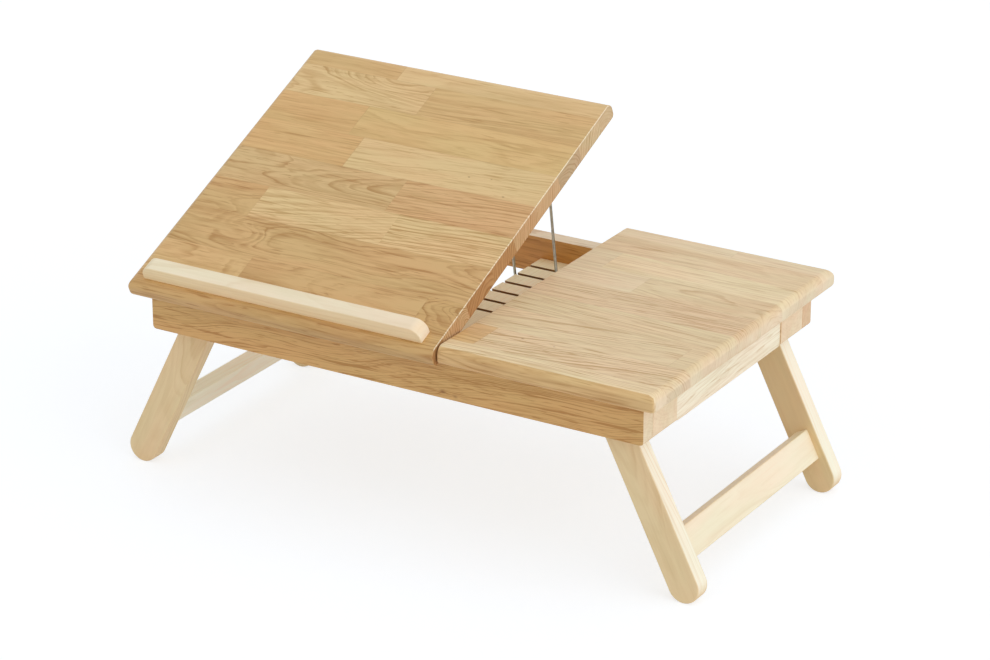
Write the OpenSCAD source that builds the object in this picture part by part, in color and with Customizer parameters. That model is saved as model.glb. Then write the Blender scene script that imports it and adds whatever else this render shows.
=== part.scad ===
// Folding bed table with a tilting desk.
// Two glued-up tops lie side by side on an apron frame. The longer top is hinged at the front
// and stands on a wire prop, whose crossbar sits in a notched rack. Both leg pairs fold inward.
// Frame: millimetres, +Z up, +X to the right, -Y to the front, origin on the floor under the
// centre of the object's outline as it stands, with the desk raised.

/* [Node] */
// Piece to draw, or all

/* [Tops] */
// Length of both tops together
top_length = 602; // [590:1:640]
// Depth of the tops, front to rear
top_depth = 380; // [360:5:420]
// Thickness of the tops
top_thick = 19; // [17:0.5:22]
// Length of the fixed top at the right
fixed_length = 238; // [200:0.2:250]
// Gap between the two tops
split_gap = 1.6; // [1:0.1:3]
// Radius of the outer upper edges
edge_top_r = 9; // [6:0.5:10]
// Radius of the outer lower edges
edge_low_r = 4; // [2:0.5:5]
// Radius of the edges at the split
edge_split_r = 1.2; // [0.6:0.1:2]

/* [Frame] */
// Overhang of the tops at the front
overhang_front = 12; // [10:0.5:20]
// Overhang of the tops at the rear
overhang_rear = 16; // [10:0.5:24]
// Overhang of the tops at each end
overhang_end = 18; // [10:0.5:23]
// Thickness of the long rails
rail_thick = 19; // [18:0.5:24]
// Height of the rails
rail_height = 40; // [38:0.5:46]
// Rounding of the rails' lower corners
rail_corner_r = 4; // [2:0.5:6]
// How far the end rails stand back from the rails' ends
end_recess = 1; // [0.5:0.5:4]
// Width of the corner blocks
block_width = 48; // [40:1:56]
// Thickness of the corner blocks
block_thick = 20; // [18:0.5:26]

/* [Legs] */
// Height of the tabletop over the floor
table_height = 223; // [215:1:229]
// Angle of the opened legs from upright
splay = 26.6; // [22:0.2:28]
// Width of the legs, seen from the front
leg_width = 33.5; // [28:0.5:34]
// Thickness of the legs
leg_thick = 19; // [15:0.5:20]
// Rounding of the edges of legs and stretchers
leg_edge_r = 1.5; // [0.5:0.1:3]
// Distance from the tops' underside to the leg pivots
pivot_drop = 20; // [19:0.5:22]
// Distance along the leg from the foot's centre to the stretcher's middle
stretcher_rise = 35.5; // [30:0.5:60]
// Width of the stretchers
stretcher_width = 33; // [26:0.5:36]
// Thickness of the stretchers
stretcher_thick = 14; // [12:0.5:16]
// Offset of the stretchers from the legs' middle, towards the ends
stretcher_offset = 1.5; // [0:0.1:2]

/* [Desk] */
// Tilt of the desk on its prop
desk_angle = 23.7; // [20:0.1:26]
// Length of each hinge
hinge_length = 50; // [40:1:60]
// Distance from the desk's ends to the hinges
hinge_inset = 55; // [40:1:70]
// Width of a hinge leaf beside the barrel
leaf_width = 15; // [13:0.5:15]

/* [Book stop] */
// Thickness of the book stop, front to rear
stop_thick = 17; // [13:0.5:20]
// Height of the book stop over the desk
stop_height = 15.5; // [12:0.5:20]
// Distance from the desk's front edge to the book stop
stop_setback = 10.5; // [9:0.5:20]
// Distance from the desk's sides to the book stop
stop_margin = 16.5; // [10:0.5:40]
// Rounding of the book stop's upper end corners
stop_end_r = 12; // [4:0.5:14]
// Rounding of the book stop's upper long edges
stop_edge_r = 1.2; // [0.5:0.1:3]

/* [Rack and prop] */
// Width of the rack
rack_width = 46; // [40:1:48]
// Thickness of the rack
rack_thick = 17; // [15:0.5:19]
// Number of slots
slot_count = 6; // [4:1:8]
// Distance between slots
slot_pitch = 26; // [22:0.5:27]
// Distance from the rear rail to the first slot
slot_start = 25; // [22:0.5:30]
// Slot that the prop stands in, counted from the rear
prop_slot = 2; // [2:1:3]
// Play of the wire in a slot
slot_play = 0.8; // [0.6:0.1:1.4]
// Depth of a slot, along its lean
slot_depth = 6; // [5:0.5:7]
// Diameter of the prop's wire
wire_dia = 3; // [2.6:0.1:3]
// Gap between the prop's legs and the rack
prop_side_gap = 0.8; // [0.5:0.1:2]
// Distance from the desk's front edge to the prop's pivot
prop_mount = 297; // [290:1:302]

/* [Hidden] */
$fn = 64;
eps = 0.01;
// Clearance between bodies that move past each other
body_gap = 0.3;
// Radial clearance of a pin in its bore
pin_gap = 0.05;

// Heights
under_top = table_height - top_thick;
frame_low = under_top - rail_height;
pivot_z = under_top - pivot_drop;
rack_top = frame_low + rack_thick;

// Hinge
barrel_r = 2.5;
hinge_pin_r = 1.25;
leaf_thick = 1.2;
knuckles = 5;
knuckle_gap = 0.4;
leaf_play = 0.2;
leaf_start = barrel_r + body_gap;
leaf_low = leaf_start - 2 * leaf_thick - leaf_play;
hinge_z = under_top - leaf_start;
knuckle_length = hinge_length / knuckles - knuckle_gap;
hinge_screw_inset = 9;
hinge_screw_step = hinge_length / 2 - hinge_screw_inset;

// Distances from the hinge: the tops' front and rear edges, and the raised desk's front outline
hinge_from_front = overhang_front - leaf_start;
rear_reach = top_depth - hinge_from_front;
edge_arc_y = edge_top_r - hinge_from_front;
edge_arc_z = leaf_start + top_thick - edge_top_r;
edge_reach = edge_arc_z * sin(desk_angle) - edge_arc_y * cos(desk_angle) + edge_top_r;
stop_reach = (leaf_start + top_thick + stop_height) * sin(desk_angle)
    - (stop_setback - hinge_from_front) * cos(desk_angle);
front_reach = max(edge_reach, stop_reach);
hinge_y = (front_reach - rear_reach) / 2;
top_front = hinge_y - hinge_from_front;
top_rear = top_front + top_depth;

// Plan of the frame
rail_front = top_front + overhang_front;
rail_rear = top_rear - overhang_rear;
bay_front = rail_front + rail_thick;
bay_rear = rail_rear - rail_thick;
frame_end = top_length / 2 - overhang_end;
block_inner = frame_end - block_thick;
end_rail_outer = frame_end - end_recess;

// Tops
split_x = top_length / 2 - fixed_length;
desk_left = -top_length / 2;
desk_right = split_x - split_gap;
desk_mid = (desk_left + desk_right) / 2;
desk_length = desk_right - desk_left;
hinge_xs = [desk_left + hinge_inset + hinge_length / 2, desk_right - hinge_inset - hinge_length / 2];

// Legs; blind_cover is the wood left beyond a blind hole
blind_cover = 7;
washer_thick = 1.2;
washer_r = 9;
leg_gap = washer_thick + body_gap;
leg_r = leg_width / 2;
stop_gap = 0.4;
pivot_x = block_inner - stop_gap - (pivot_z - frame_low) * tan(splay) - leg_r / cos(splay);
leg_reach = (pivot_z - leg_r) / cos(splay);
screw_shoulder_r = 3;
screw_thread_r = 2.5;
screw_thread = rail_thick - blind_cover;
screw_head_r = 6.5;
screw_head = 3;
front_leg_y = bay_front + leg_gap;
rear_leg_y = bay_rear - leg_gap - leg_thick;

// Dowels
dowel_r = 4;
dowel_long = 30;
dowel_top = 24;
dowel_small_r = 3;
dowel_small = 24;
dowel_in_rail = rail_thick - blind_cover;
dowel_in_leg = leg_thick - blind_cover;
top_dowel_in = top_thick - blind_cover;
dowel_rise = 8;
split_dowel_inset = 36;
end_dowel_inset = 62;
side_dowel_inset = 49;
top_dowel_xs = [split_x + split_dowel_inset, frame_end - end_dowel_inset];
end_rail_front = bay_front + block_width;
end_rail_rear = bay_rear - block_width;
end_rail_mid = (block_inner + end_rail_outer) / 2;
rack_dowel_x = rack_width / 4;

// Small screws
small_screw_r = 1.3;
small_screw = 12;
countersink_r = 2.6;
stop_screw_r = 2;
stop_screw_head_r = 4;
stop_screw_head = 2.4;
stop_screw_bite = 9;
stop_screw_inset = 38;
stop_screw_step = desk_length / 2 - stop_margin - stop_screw_inset;

// Slots and prop
wire_r = wire_dia / 2;
bend_r = 3;
slot_lean = 26;
prop_half = rack_width / 2 + prop_side_gap + wire_r;
wire_headroom = 3.5;
prop_drop = wire_r + wire_headroom;
clip_play = 1;
clip_start = bend_r + clip_play;
clip_width = 8;
journal_end = 2;
journal = clip_play + clip_width + journal_end;
clip_plate = 1.5;
clip_wall = 1.7;
clip_r = wire_r + clip_wall;
clip_half = 12;
clip_xs = [prop_half + clip_start, -prop_half - clip_start - clip_width];
clip_screw_at = 8;
clip_screw_r = 1.5;
clip_screw = 10;
clip_head_r = 2.7;
clip_head = 1.5;
crossbar_sunk = slot_depth - wire_r - body_gap;
slot_y = bay_rear - slot_start - (prop_slot - 1) * slot_pitch;
crossbar_y = slot_y + crossbar_sunk * sin(slot_lean);
crossbar_z = rack_top - crossbar_sunk * cos(slot_lean);
mount_flat_y = top_front + prop_mount - hinge_y;
mount_flat_z = under_top - prop_drop - hinge_z;
mount_y = hinge_y + mount_flat_y * cos(desk_angle) - mount_flat_z * sin(desk_angle);
mount_z = hinge_z + mount_flat_y * sin(desk_angle) + mount_flat_z * cos(desk_angle);
prop_length = norm([mount_y - crossbar_y, mount_z - crossbar_z]);
prop_lean = atan2(crossbar_y - mount_y, mount_z - crossbar_z);

// Colours
oak = [0.80, 0.62, 0.40];
oak_dark = [0.68, 0.50, 0.30];
oak_pale = [0.86, 0.72, 0.52];
maple = [0.90, 0.80, 0.63];
dowel_wood = [0.82, 0.66, 0.45];
steel = [0.62, 0.62, 0.60];
zinc = [0.70, 0.70, 0.68];

// Waste at one corner of a rectangle; sx and sy point from the corner into the rectangle
module corner_waste(at, sx, sy, r) {
    translate(at)
        difference() {
            translate([sx > 0 ? -eps : -r, sy > 0 ? -eps : -r])
                square([r + eps, r + eps]);
            translate([sx * r, sy * r])
                circle(r = r);
        }
}

// Rectangle from [x0, y0] with its own radius at each corner:
// lower left, lower right, upper right, upper left
module soft_rect(x0, y0, w, h, radii) {
    difference() {
        translate([x0, y0])
            square([w, h]);
        if (radii[0] > 0) corner_waste([x0, y0], 1, 1, radii[0]);
        if (radii[1] > 0) corner_waste([x0 + w, y0], -1, 1, radii[1]);
        if (radii[2] > 0) corner_waste([x0 + w, y0 + h], -1, -1, radii[2]);
        if (radii[3] > 0) corner_waste([x0, y0 + h], 1, -1, radii[3]);
    }
}

// Plane figure in X and Z, given depth along Y from y0
module along_y(y0, depth) {
    translate([0, y0 + depth, 0])
        rotate([90, 0, 0])
            linear_extrude(height = depth)
                children();
}

// Plane figure in Y and Z, given length along X from x0
module along_x(x0, length) {
    translate([x0, 0, 0])
        rotate([90, 0, 90])
            linear_extrude(height = length)
                children();
}

// Round bar along Y from y0
module bar_y(x, y0, z, r, length) {
    translate([x, y0 + length, z])
        rotate([90, 0, 0])
            cylinder(r = r, h = length);
}

// Round bar along X from x0
module bar_x(x0, y, z, r, length) {
    translate([x0, y, z])
        rotate([0, 90, 0])
            cylinder(r = r, h = length);
}

// Round bar along Z from z0
module bar_z(x, y, z0, r, length) {
    translate([x, y, z0])
        cylinder(r = r, h = length);
}

// Turns the flat desk about its hinge to the angle at which it stands
module raised() {
    translate([0, hinge_y, hinge_z])
        rotate([desk_angle, 0, 0])
            translate([0, -hinge_y, -hinge_z])
                children();
}

// Board with rounded front, rear and outer edges; side is 1 where the outer edge is at the right
module top_board(x0, length, side) {
    outer_left = side < 0;
    low_l = outer_left ? edge_low_r : edge_split_r;
    low_r = outer_left ? edge_split_r : edge_low_r;
    up_l = outer_left ? edge_top_r : edge_split_r;
    up_r = outer_left ? edge_split_r : edge_top_r;
    intersection() {
        along_x(x0 - eps, length + 2 * eps)
            soft_rect(top_front, under_top, top_depth, top_thick,
                [edge_low_r, edge_low_r, edge_top_r, edge_top_r]);
        along_y(top_front - eps, top_depth + 2 * eps)
            soft_rect(x0, under_top, length, top_thick, [low_l, low_r, up_r, up_l]);
    }
}

// Long rail with its lower end corners rounded
module long_rail(y0) {
    along_y(y0, rail_thick)
        soft_rect(-frame_end, frame_low, 2 * frame_end, rail_height, [rail_corner_r, rail_corner_r, 0, 0]);
}

// Seats of both leaves of each hinge, cut into the front rail's upper edge
module hinge_seats() {
    for (x = hinge_xs)
        translate([x - hinge_length / 2 - body_gap, rail_front - eps, hinge_z + leaf_low])
            cube([hinge_length + 2 * body_gap, leaf_width + body_gap + eps, leaf_start - leaf_low + eps]);
}

module front_rail() {
    color(oak_dark)
        difference() {
            long_rail(rail_front);
            hinge_seats();
            frame_dowel_bars();
            top_dowel_bars();
            rack_dowel_bars();
            leg_screw_bars();
            frame_hinge_screw_bars(eps);
        }
}

module rear_rail() {
    color(oak_dark)
        difference() {
            long_rail(bay_rear);
            frame_dowel_bars();
            top_dowel_bars();
            rack_dowel_bars();
            leg_screw_bars();
        }
}

// End rail between the corner blocks; side is 1 at the right and -1 at the left
module end_rail(side) {
    x0 = side > 0 ? block_inner : -end_rail_outer;
    color(oak_pale)
        difference() {
            along_x(x0, end_rail_outer - block_inner)
                soft_rect(end_rail_front, frame_low, end_rail_rear - end_rail_front, rail_height,
                    [rail_corner_r, rail_corner_r, 0, 0]);
            frame_dowel_bars();
            top_dowel_bars();
        }
}

module left_end_rail() {
    end_rail(-1);
}

module right_end_rail() {
    end_rail(1);
}

// Corner block, rounded like the rails' ends; its inner lower edge is the stop of the opened leg
module corner_block(side, y0) {
    x0 = side > 0 ? block_inner : -frame_end;
    low_left = side > 0 ? 0 : rail_corner_r;
    low_right = side > 0 ? rail_corner_r : 0;
    color(oak)
        difference() {
            along_y(y0, block_width)
                soft_rect(x0, frame_low, block_thick, rail_height, [low_left, low_right, 0, 0]);
            frame_dowel_bars();
        }
}

module front_left_block() {
    corner_block(-1, bay_front);
}

module front_right_block() {
    corner_block(1, bay_front);
}

module rear_left_block() {
    corner_block(-1, bay_rear - block_width);
}

module rear_right_block() {
    corner_block(1, bay_rear - block_width);
}

module fixed_top() {
    color(oak_pale)
        difference() {
            top_board(split_x, fixed_length, 1);
            top_dowel_bars();
        }
}

// Cross slot: it leans so that the prop's crossbar leaves along it as the desk lifts
module slot_cut(y) {
    kerf = wire_dia + slot_play;
    translate([-rack_width, y, rack_top])
        rotate([slot_lean, 0, 0])
            translate([0, -kerf / 2, -slot_depth])
                cube([2 * rack_width, kerf, 2 * slot_depth]);
}

module notched_rack() {
    color(maple)
        difference() {
            translate([-rack_width / 2, bay_front, frame_low])
                cube([rack_width, bay_rear - bay_front, rack_thick]);
            for (i = [0 : slot_count - 1])
                slot_cut(bay_rear - slot_start - i * slot_pitch);
            rack_dowel_bars();
        }
}

// Dowels that join the corner blocks to the long rails and to the end rails
module frame_dowel_bars() {
    joints = [bay_front - dowel_in_rail, end_rail_front - dowel_long / 2,
        end_rail_rear - dowel_long / 2, bay_rear + dowel_in_rail - dowel_long];
    for (side = [-1, 1])
        for (y = joints)
            for (z = [frame_low + dowel_rise, under_top - dowel_rise])
                bar_y(side * end_rail_mid, y, z, dowel_r, dowel_long);
}

module frame_dowels() {
    color(dowel_wood)
        frame_dowel_bars();
}

// Dowels that hold the fixed top down on the rails
module top_dowel_bars() {
    for (x = top_dowel_xs)
        for (y = [rail_front + rail_thick / 2, rail_rear - rail_thick / 2])
            bar_z(x, y, under_top + top_dowel_in - dowel_top, dowel_r, dowel_top);
    for (y = [end_rail_front + side_dowel_inset, end_rail_rear - side_dowel_inset])
        bar_z(end_rail_mid, y, under_top + top_dowel_in - dowel_top, dowel_r, dowel_top);
}

module top_dowels() {
    color(dowel_wood)
        top_dowel_bars();
}

module rack_dowel_bars() {
    for (x = [-rack_dowel_x, rack_dowel_x])
        for (y = [bay_front - dowel_in_rail, bay_rear + dowel_in_rail - dowel_small])
            bar_y(x, y, frame_low + rack_thick / 2, dowel_small_r, dowel_small);
}

module rack_dowels() {
    color(dowel_wood)
        rack_dowel_bars();
}

// Start of knuckle k of the hinge whose middle is at x
function knuckle_x(x, k) = x - hinge_length / 2 + k * hinge_length / knuckles + knuckle_gap / 2;

// Knuckles of one leaf, from the first in steps of two, with the tongues that join them to the plate
module knuckle_row(x, first, low) {
    for (k = [first : 2 : knuckles - 1])
        difference() {
            union() {
                bar_x(knuckle_x(x, k), hinge_y, hinge_z, barrel_r, knuckle_length);
                translate([knuckle_x(x, k), hinge_y, hinge_z + low])
                    cube([knuckle_length, leaf_start + eps, leaf_thick]);
            }
            bar_x(x - hinge_length, hinge_y, hinge_z, first == 0 ? hinge_pin_r : hinge_pin_r + pin_gap,
                2 * hinge_length);
        }
}

// One leaf: plate and knuckles
module hinge_leaf(x, first, low) {
    knuckle_row(x, first, low);
    translate([x - hinge_length / 2, hinge_y + leaf_start, hinge_z + low])
        cube([hinge_length, leaf_width, leaf_thick]);
}

module frame_hinge_leaves() {
    color(zinc)
        difference() {
            for (x = hinge_xs)
                hinge_leaf(x, 0, leaf_low);
            frame_hinge_screw_bars(eps);
        }
}

// Countersunk screws of the frame leaves, heads up; a cut runs past the heads by over
module frame_hinge_screw_bars(over) {
    for (x = hinge_xs)
        for (dx = [-hinge_screw_step, 0, hinge_screw_step])
            translate([x + dx, hinge_y + leaf_start + leaf_width / 2, hinge_z + leaf_low]) {
                translate([0, 0, -small_screw])
                    cylinder(r = small_screw_r, h = small_screw + leaf_thick);
                cylinder(r1 = small_screw_r, r2 = countersink_r, h = leaf_thick);
                if (over > 0) bar_z(0, 0, leaf_thick - over, countersink_r, 2 * over);
            }
}

module frame_hinge_screws() {
    color(steel)
        frame_hinge_screw_bars(0);
}

module hinge_pins() {
    color(steel)
        for (x = hinge_xs)
            bar_x(x - hinge_length / 2, hinge_y, hinge_z, hinge_pin_r, hinge_length);
}

// Shouldered screws on which the legs turn, driven into the long rails from inside
module leg_screw_bars() {
    for (x = [-pivot_x, pivot_x]) {
        bar_y(x, bay_front - screw_thread, pivot_z, screw_thread_r, screw_thread + eps);
        bar_y(x, bay_rear - eps, pivot_z, screw_thread_r, screw_thread + eps);
    }
}

module leg_pivot_screws() {
    shoulder = leg_gap + leg_thick + body_gap;
    color(steel) {
        leg_screw_bars();
        for (x = [-pivot_x, pivot_x]) {
            bar_y(x, bay_front, pivot_z, screw_shoulder_r, shoulder);
            bar_y(x, bay_front + shoulder, pivot_z, screw_head_r, screw_head);
            bar_y(x, bay_rear - shoulder, pivot_z, screw_shoulder_r, shoulder);
            bar_y(x, bay_rear - shoulder - screw_head, pivot_z, screw_head_r, screw_head);
        }
    }
}

module leg_washers() {
    color(zinc)
        for (x = [-pivot_x, pivot_x])
            for (y = [bay_front, bay_rear - washer_thick])
                difference() {
                    bar_y(x, y, pivot_z, washer_r, washer_thick);
                    bar_y(x, y - eps, pivot_z, screw_shoulder_r, washer_thick + 2 * eps);
                }
}

module desk_top() {
    color(oak)
        raised()
            difference() {
                top_board(desk_left, desk_length, -1);
                stop_screw_bars(eps);
                desk_hinge_screw_bars(eps);
                clip_screw_bars(eps);
            }
}

// Bar with its upper end corners well rounded and its upper long edges softened
module book_stop() {
    x0 = desk_left + stop_margin;
    y0 = top_front + stop_setback;
    length = desk_length - 2 * stop_margin;
    color(maple)
        raised()
            difference() {
                intersection() {
                    along_y(y0 - eps, stop_thick + 2 * eps)
                        soft_rect(x0, table_height, length, stop_height, [0, 0, stop_end_r, stop_end_r]);
                    along_x(x0 - eps, length + 2 * eps)
                        soft_rect(y0, table_height, stop_thick, stop_height,
                            [0, 0, stop_edge_r, stop_edge_r]);
                }
                stop_screw_bars(eps);
            }
}

// Screws driven up through the desk into the book stop; a cut runs past the heads by over
module stop_screw_bars(over) {
    for (dx = [-stop_screw_step, 0, stop_screw_step]) {
        x = desk_mid + dx;
        y = top_front + stop_setback + stop_thick / 2;
        bar_z(x, y, under_top, stop_screw_r, top_thick + stop_screw_bite);
        translate([x, y, under_top])
            cylinder(r1 = stop_screw_head_r, r2 = stop_screw_r, h = stop_screw_head);
        if (over > 0) bar_z(x, y, under_top - over, stop_screw_head_r, 2 * over);
    }
}

module book_stop_screws() {
    color(steel)
        raised()
            stop_screw_bars(0);
}

module desk_hinge_leaves() {
    color(zinc)
        raised()
            difference() {
                for (x = hinge_xs)
                    hinge_leaf(x, 1, leaf_start - leaf_thick);
                desk_hinge_screw_bars(eps);
            }
}

// Countersunk screws of the desk leaves, heads down; a cut runs past the heads by over
module desk_hinge_screw_bars(over) {
    for (x = hinge_xs)
        for (dx = [-hinge_screw_step, 0, hinge_screw_step])
            translate([x + dx, hinge_y + leaf_start + leaf_width / 2, under_top - leaf_thick]) {
                cylinder(r = small_screw_r, h = small_screw + leaf_thick);
                cylinder(r1 = countersink_r, r2 = small_screw_r, h = leaf_thick);
                if (over > 0) bar_z(0, 0, -over, countersink_r, 2 * over);
            }
}

module desk_hinge_screws() {
    color(steel)
        raised()
            desk_hinge_screw_bars(0);
}

// Clips under the desk: a plate, and an eye for the prop's journal
module prop_clips() {
    y = top_front + prop_mount;
    z = under_top - prop_drop;
    color(zinc)
        raised()
            difference() {
                for (x = clip_xs) {
                    translate([x, y - clip_half, under_top - clip_plate])
                        cube([clip_width, 2 * clip_half, clip_plate]);
                    translate([x, y - clip_r, z])
                        cube([clip_width, 2 * clip_r, prop_drop - clip_plate / 2]);
                    bar_x(x, y, z, clip_r, clip_width);
                }
                bar_x(-2 * prop_half - clip_width, y, z, wire_r + pin_gap, 4 * prop_half + 2 * clip_width);
                clip_screw_bars(eps);
            }
}

// Countersunk screws of the clips, heads down; a cut runs past the heads by over
module clip_screw_bars(over) {
    for (x = clip_xs)
        for (dy = [-clip_screw_at, clip_screw_at])
            translate([x + clip_width / 2, top_front + prop_mount + dy, under_top - clip_plate]) {
                cylinder(r = clip_screw_r, h = clip_screw + clip_plate);
                cylinder(r1 = clip_head_r, r2 = clip_screw_r, h = clip_head);
                if (over > 0) bar_z(0, 0, -over, clip_head_r, 2 * over);
            }
}

module prop_clip_screws() {
    color(steel)
        raised()
            clip_screw_bars(0);
}

// Quarter bend of the wire in the plane of X and Z, from +X to +Z about its centre
module wire_bend() {
    rotate([90, 0, 0])
        rotate_extrude(angle = 90)
            translate([bend_r, 0])
                circle(r = wire_r);
}

// Half of the bail, standing on its crossbar's middle with the leg upright
module half_bail() {
    bar_x(0, 0, 0, wire_r, prop_half - bend_r);
    translate([prop_half - bend_r, 0, bend_r])
        rotate([0, 90, 0])
            wire_bend();
    bar_z(prop_half, 0, bend_r, wire_r, prop_length - 2 * bend_r);
    translate([prop_half + bend_r, 0, prop_length - bend_r])
        rotate([0, -90, 0])
            wire_bend();
    bar_x(prop_half + bend_r, 0, prop_length, wire_r, journal);
}

module prop_wire() {
    color(steel)
        translate([0, crossbar_y, crossbar_z])
            rotate([prop_lean, 0, 0]) {
                half_bail();
                mirror([1, 0, 0])
                    half_bail();
            }
}

// Upper half of a leg's round end about the origin
module leg_round(y0) {
    translate([0, y0 + leg_thick, 0])
        rotate([90, 0, 0])
            rotate_extrude(angle = 180)
                soft_rect(0, 0, leg_r, leg_thick, [0, leg_edge_r, leg_edge_r, 0]);
}

// Leg that hangs from its pivot at the origin, round at both ends, with softened edges
module leg_bar(y0) {
    leg_round(y0);
    translate([0, 0, -leg_reach]) {
        linear_extrude(height = leg_reach)
            soft_rect(-leg_r, y0, leg_width, leg_thick, [leg_edge_r, leg_edge_r, leg_edge_r, leg_edge_r]);
        rotate([0, 180, 0])
            leg_round(y0);
    }
}

// Places what hangs upright from the origin at the right pair's pivot, splayed outward
module opened() {
    translate([pivot_x, 0, pivot_z])
        rotate([0, -splay, 0])
            children();
}

module leg(y0) {
    color(maple)
        difference() {
            opened()
                leg_bar(y0);
            bar_y(pivot_x, y0 - eps, pivot_z, screw_shoulder_r + pin_gap, leg_thick + 2 * eps);
            opened()
                stretcher_dowel_bars();
        }
}

module right_front_leg() {
    leg(front_leg_y);
}

module right_rear_leg() {
    leg(rear_leg_y);
}

module left_front_leg() {
    mirror([1, 0, 0])
        leg(front_leg_y);
}

module left_rear_leg() {
    mirror([1, 0, 0])
        leg(rear_leg_y);
}

module stretcher() {
    y0 = front_leg_y + leg_thick;
    color(maple)
        opened()
            difference() {
                along_y(y0, rear_leg_y - y0)
                    soft_rect(stretcher_offset - stretcher_thick / 2,
                        stretcher_rise - leg_reach - stretcher_width / 2, stretcher_thick, stretcher_width,
                        [leg_edge_r, leg_edge_r, leg_edge_r, leg_edge_r]);
                stretcher_dowel_bars();
            }
}

module right_stretcher() {
    stretcher();
}

module left_stretcher() {
    mirror([1, 0, 0])
        stretcher();
}

// Dowels between the stretcher's ends and the legs, in the upright leg's place
module stretcher_dowel_bars() {
    for (dz = [-stretcher_width / 4, stretcher_width / 4])
        for (y = [front_leg_y + leg_thick - dowel_in_leg, rear_leg_y + dowel_in_leg - dowel_small])
            bar_y(stretcher_offset, y, stretcher_rise - leg_reach + dz, dowel_small_r, dowel_small);
}

module stretcher_dowels() {
    color(dowel_wood)
        opened()
            stretcher_dowel_bars();
}

module right_stretcher_dowels() {
    stretcher_dowels();
}

module left_stretcher_dowels() {
    mirror([1, 0, 0])
        stretcher_dowels();
}

front_rail();
rear_rail();
left_end_rail();
right_end_rail();
front_left_block();
front_right_block();
rear_left_block();
rear_right_block();
fixed_top();
notched_rack();
frame_dowels();
top_dowels();
rack_dowels();
frame_hinge_leaves();
frame_hinge_screws();
hinge_pins();
leg_pivot_screws();
leg_washers();
desk_top();
book_stop();
book_stop_screws();
desk_hinge_leaves();
desk_hinge_screws();
prop_clips();
prop_clip_screws();
prop_wire();
right_front_leg();
right_rear_leg();
right_stretcher();
right_stretcher_dowels();
left_front_leg();
left_rear_leg();
left_stretcher();
left_stretcher_dowels();
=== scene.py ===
"""Looks of a folding bed table with a tilting desk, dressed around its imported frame.

Sizes are written in millimetres, as on a maker's sheet, and MM turns them into metres.
The frame has +Z up, +X to the right and -Y to the front, with the floor at zero.
"""

import logging
import math
from collections.abc import Callable, Iterator, Sequence
from contextlib import contextmanager
from dataclasses import dataclass, field, replace
from enum import Enum

import bmesh
import bpy
import numpy as np
from mathutils import Matrix, Vector


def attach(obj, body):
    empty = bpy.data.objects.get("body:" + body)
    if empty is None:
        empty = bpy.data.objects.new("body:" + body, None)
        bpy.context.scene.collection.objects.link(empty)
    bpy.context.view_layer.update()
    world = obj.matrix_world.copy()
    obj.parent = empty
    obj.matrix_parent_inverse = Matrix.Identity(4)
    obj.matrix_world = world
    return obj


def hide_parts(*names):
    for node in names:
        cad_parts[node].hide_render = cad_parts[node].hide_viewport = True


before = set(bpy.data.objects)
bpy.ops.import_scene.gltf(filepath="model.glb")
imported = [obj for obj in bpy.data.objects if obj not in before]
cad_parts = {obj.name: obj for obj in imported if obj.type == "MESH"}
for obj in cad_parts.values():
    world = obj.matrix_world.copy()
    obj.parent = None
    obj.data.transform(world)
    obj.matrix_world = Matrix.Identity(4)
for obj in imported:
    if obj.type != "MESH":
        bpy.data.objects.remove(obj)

MM = 0.001
NEAR = 0.01 * MM      # an edge this near to a plane lies in it
RUNS = 0.5            # an edge runs along an axis if its direction has more than this of it
ROD_SIDES = 32
CURVE = 6             # flats of a board's rounded corner
FINE_CURVE = 3        # flats of a small rounding
WHITE = (1.0, 1.0, 1.0, 1.0)
log = logging.getLogger("bed_table")

# Names of the mesh attributes that the timber finishes read
GRAIN = "grain_place"
HEART = "grain_heart"
DRIFT = "grain_drift"
FIGURE = "grain_figure"
SEAM = "grain_seam"
TONE_AND_LIGHT = "grain_tone_and_light"
END = "grain_end"

Pair = tuple[float, float]
Triple = tuple[float, float, float]
Test = Callable[[Vector, Vector], bool]
Socket = bpy.types.NodeSocket
Feed = Socket | float | Sequence[float]


def mm(*values: float) -> Vector:
    """Return a point given in millimetres as a vector in metres."""
    return Vector([v * MM for v in values])


def linear(rgb: Sequence[float]) -> tuple[float, float, float, float]:
    """Turn a colour written as 0 to 255 display values into a linear one.

    Args:
        rgb: Red, green and blue, each from 0 to 255.

    Returns:
        Linear red, green and blue from 0 to 1, and a full alpha.
    """
    parts = [v / 255 for v in rgb]
    out = [v / 12.92 if v <= 0.04045 else ((v + 0.055) / 1.055) ** 2.4 for v in parts]
    return (out[0], out[1], out[2], 1.0)


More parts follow.
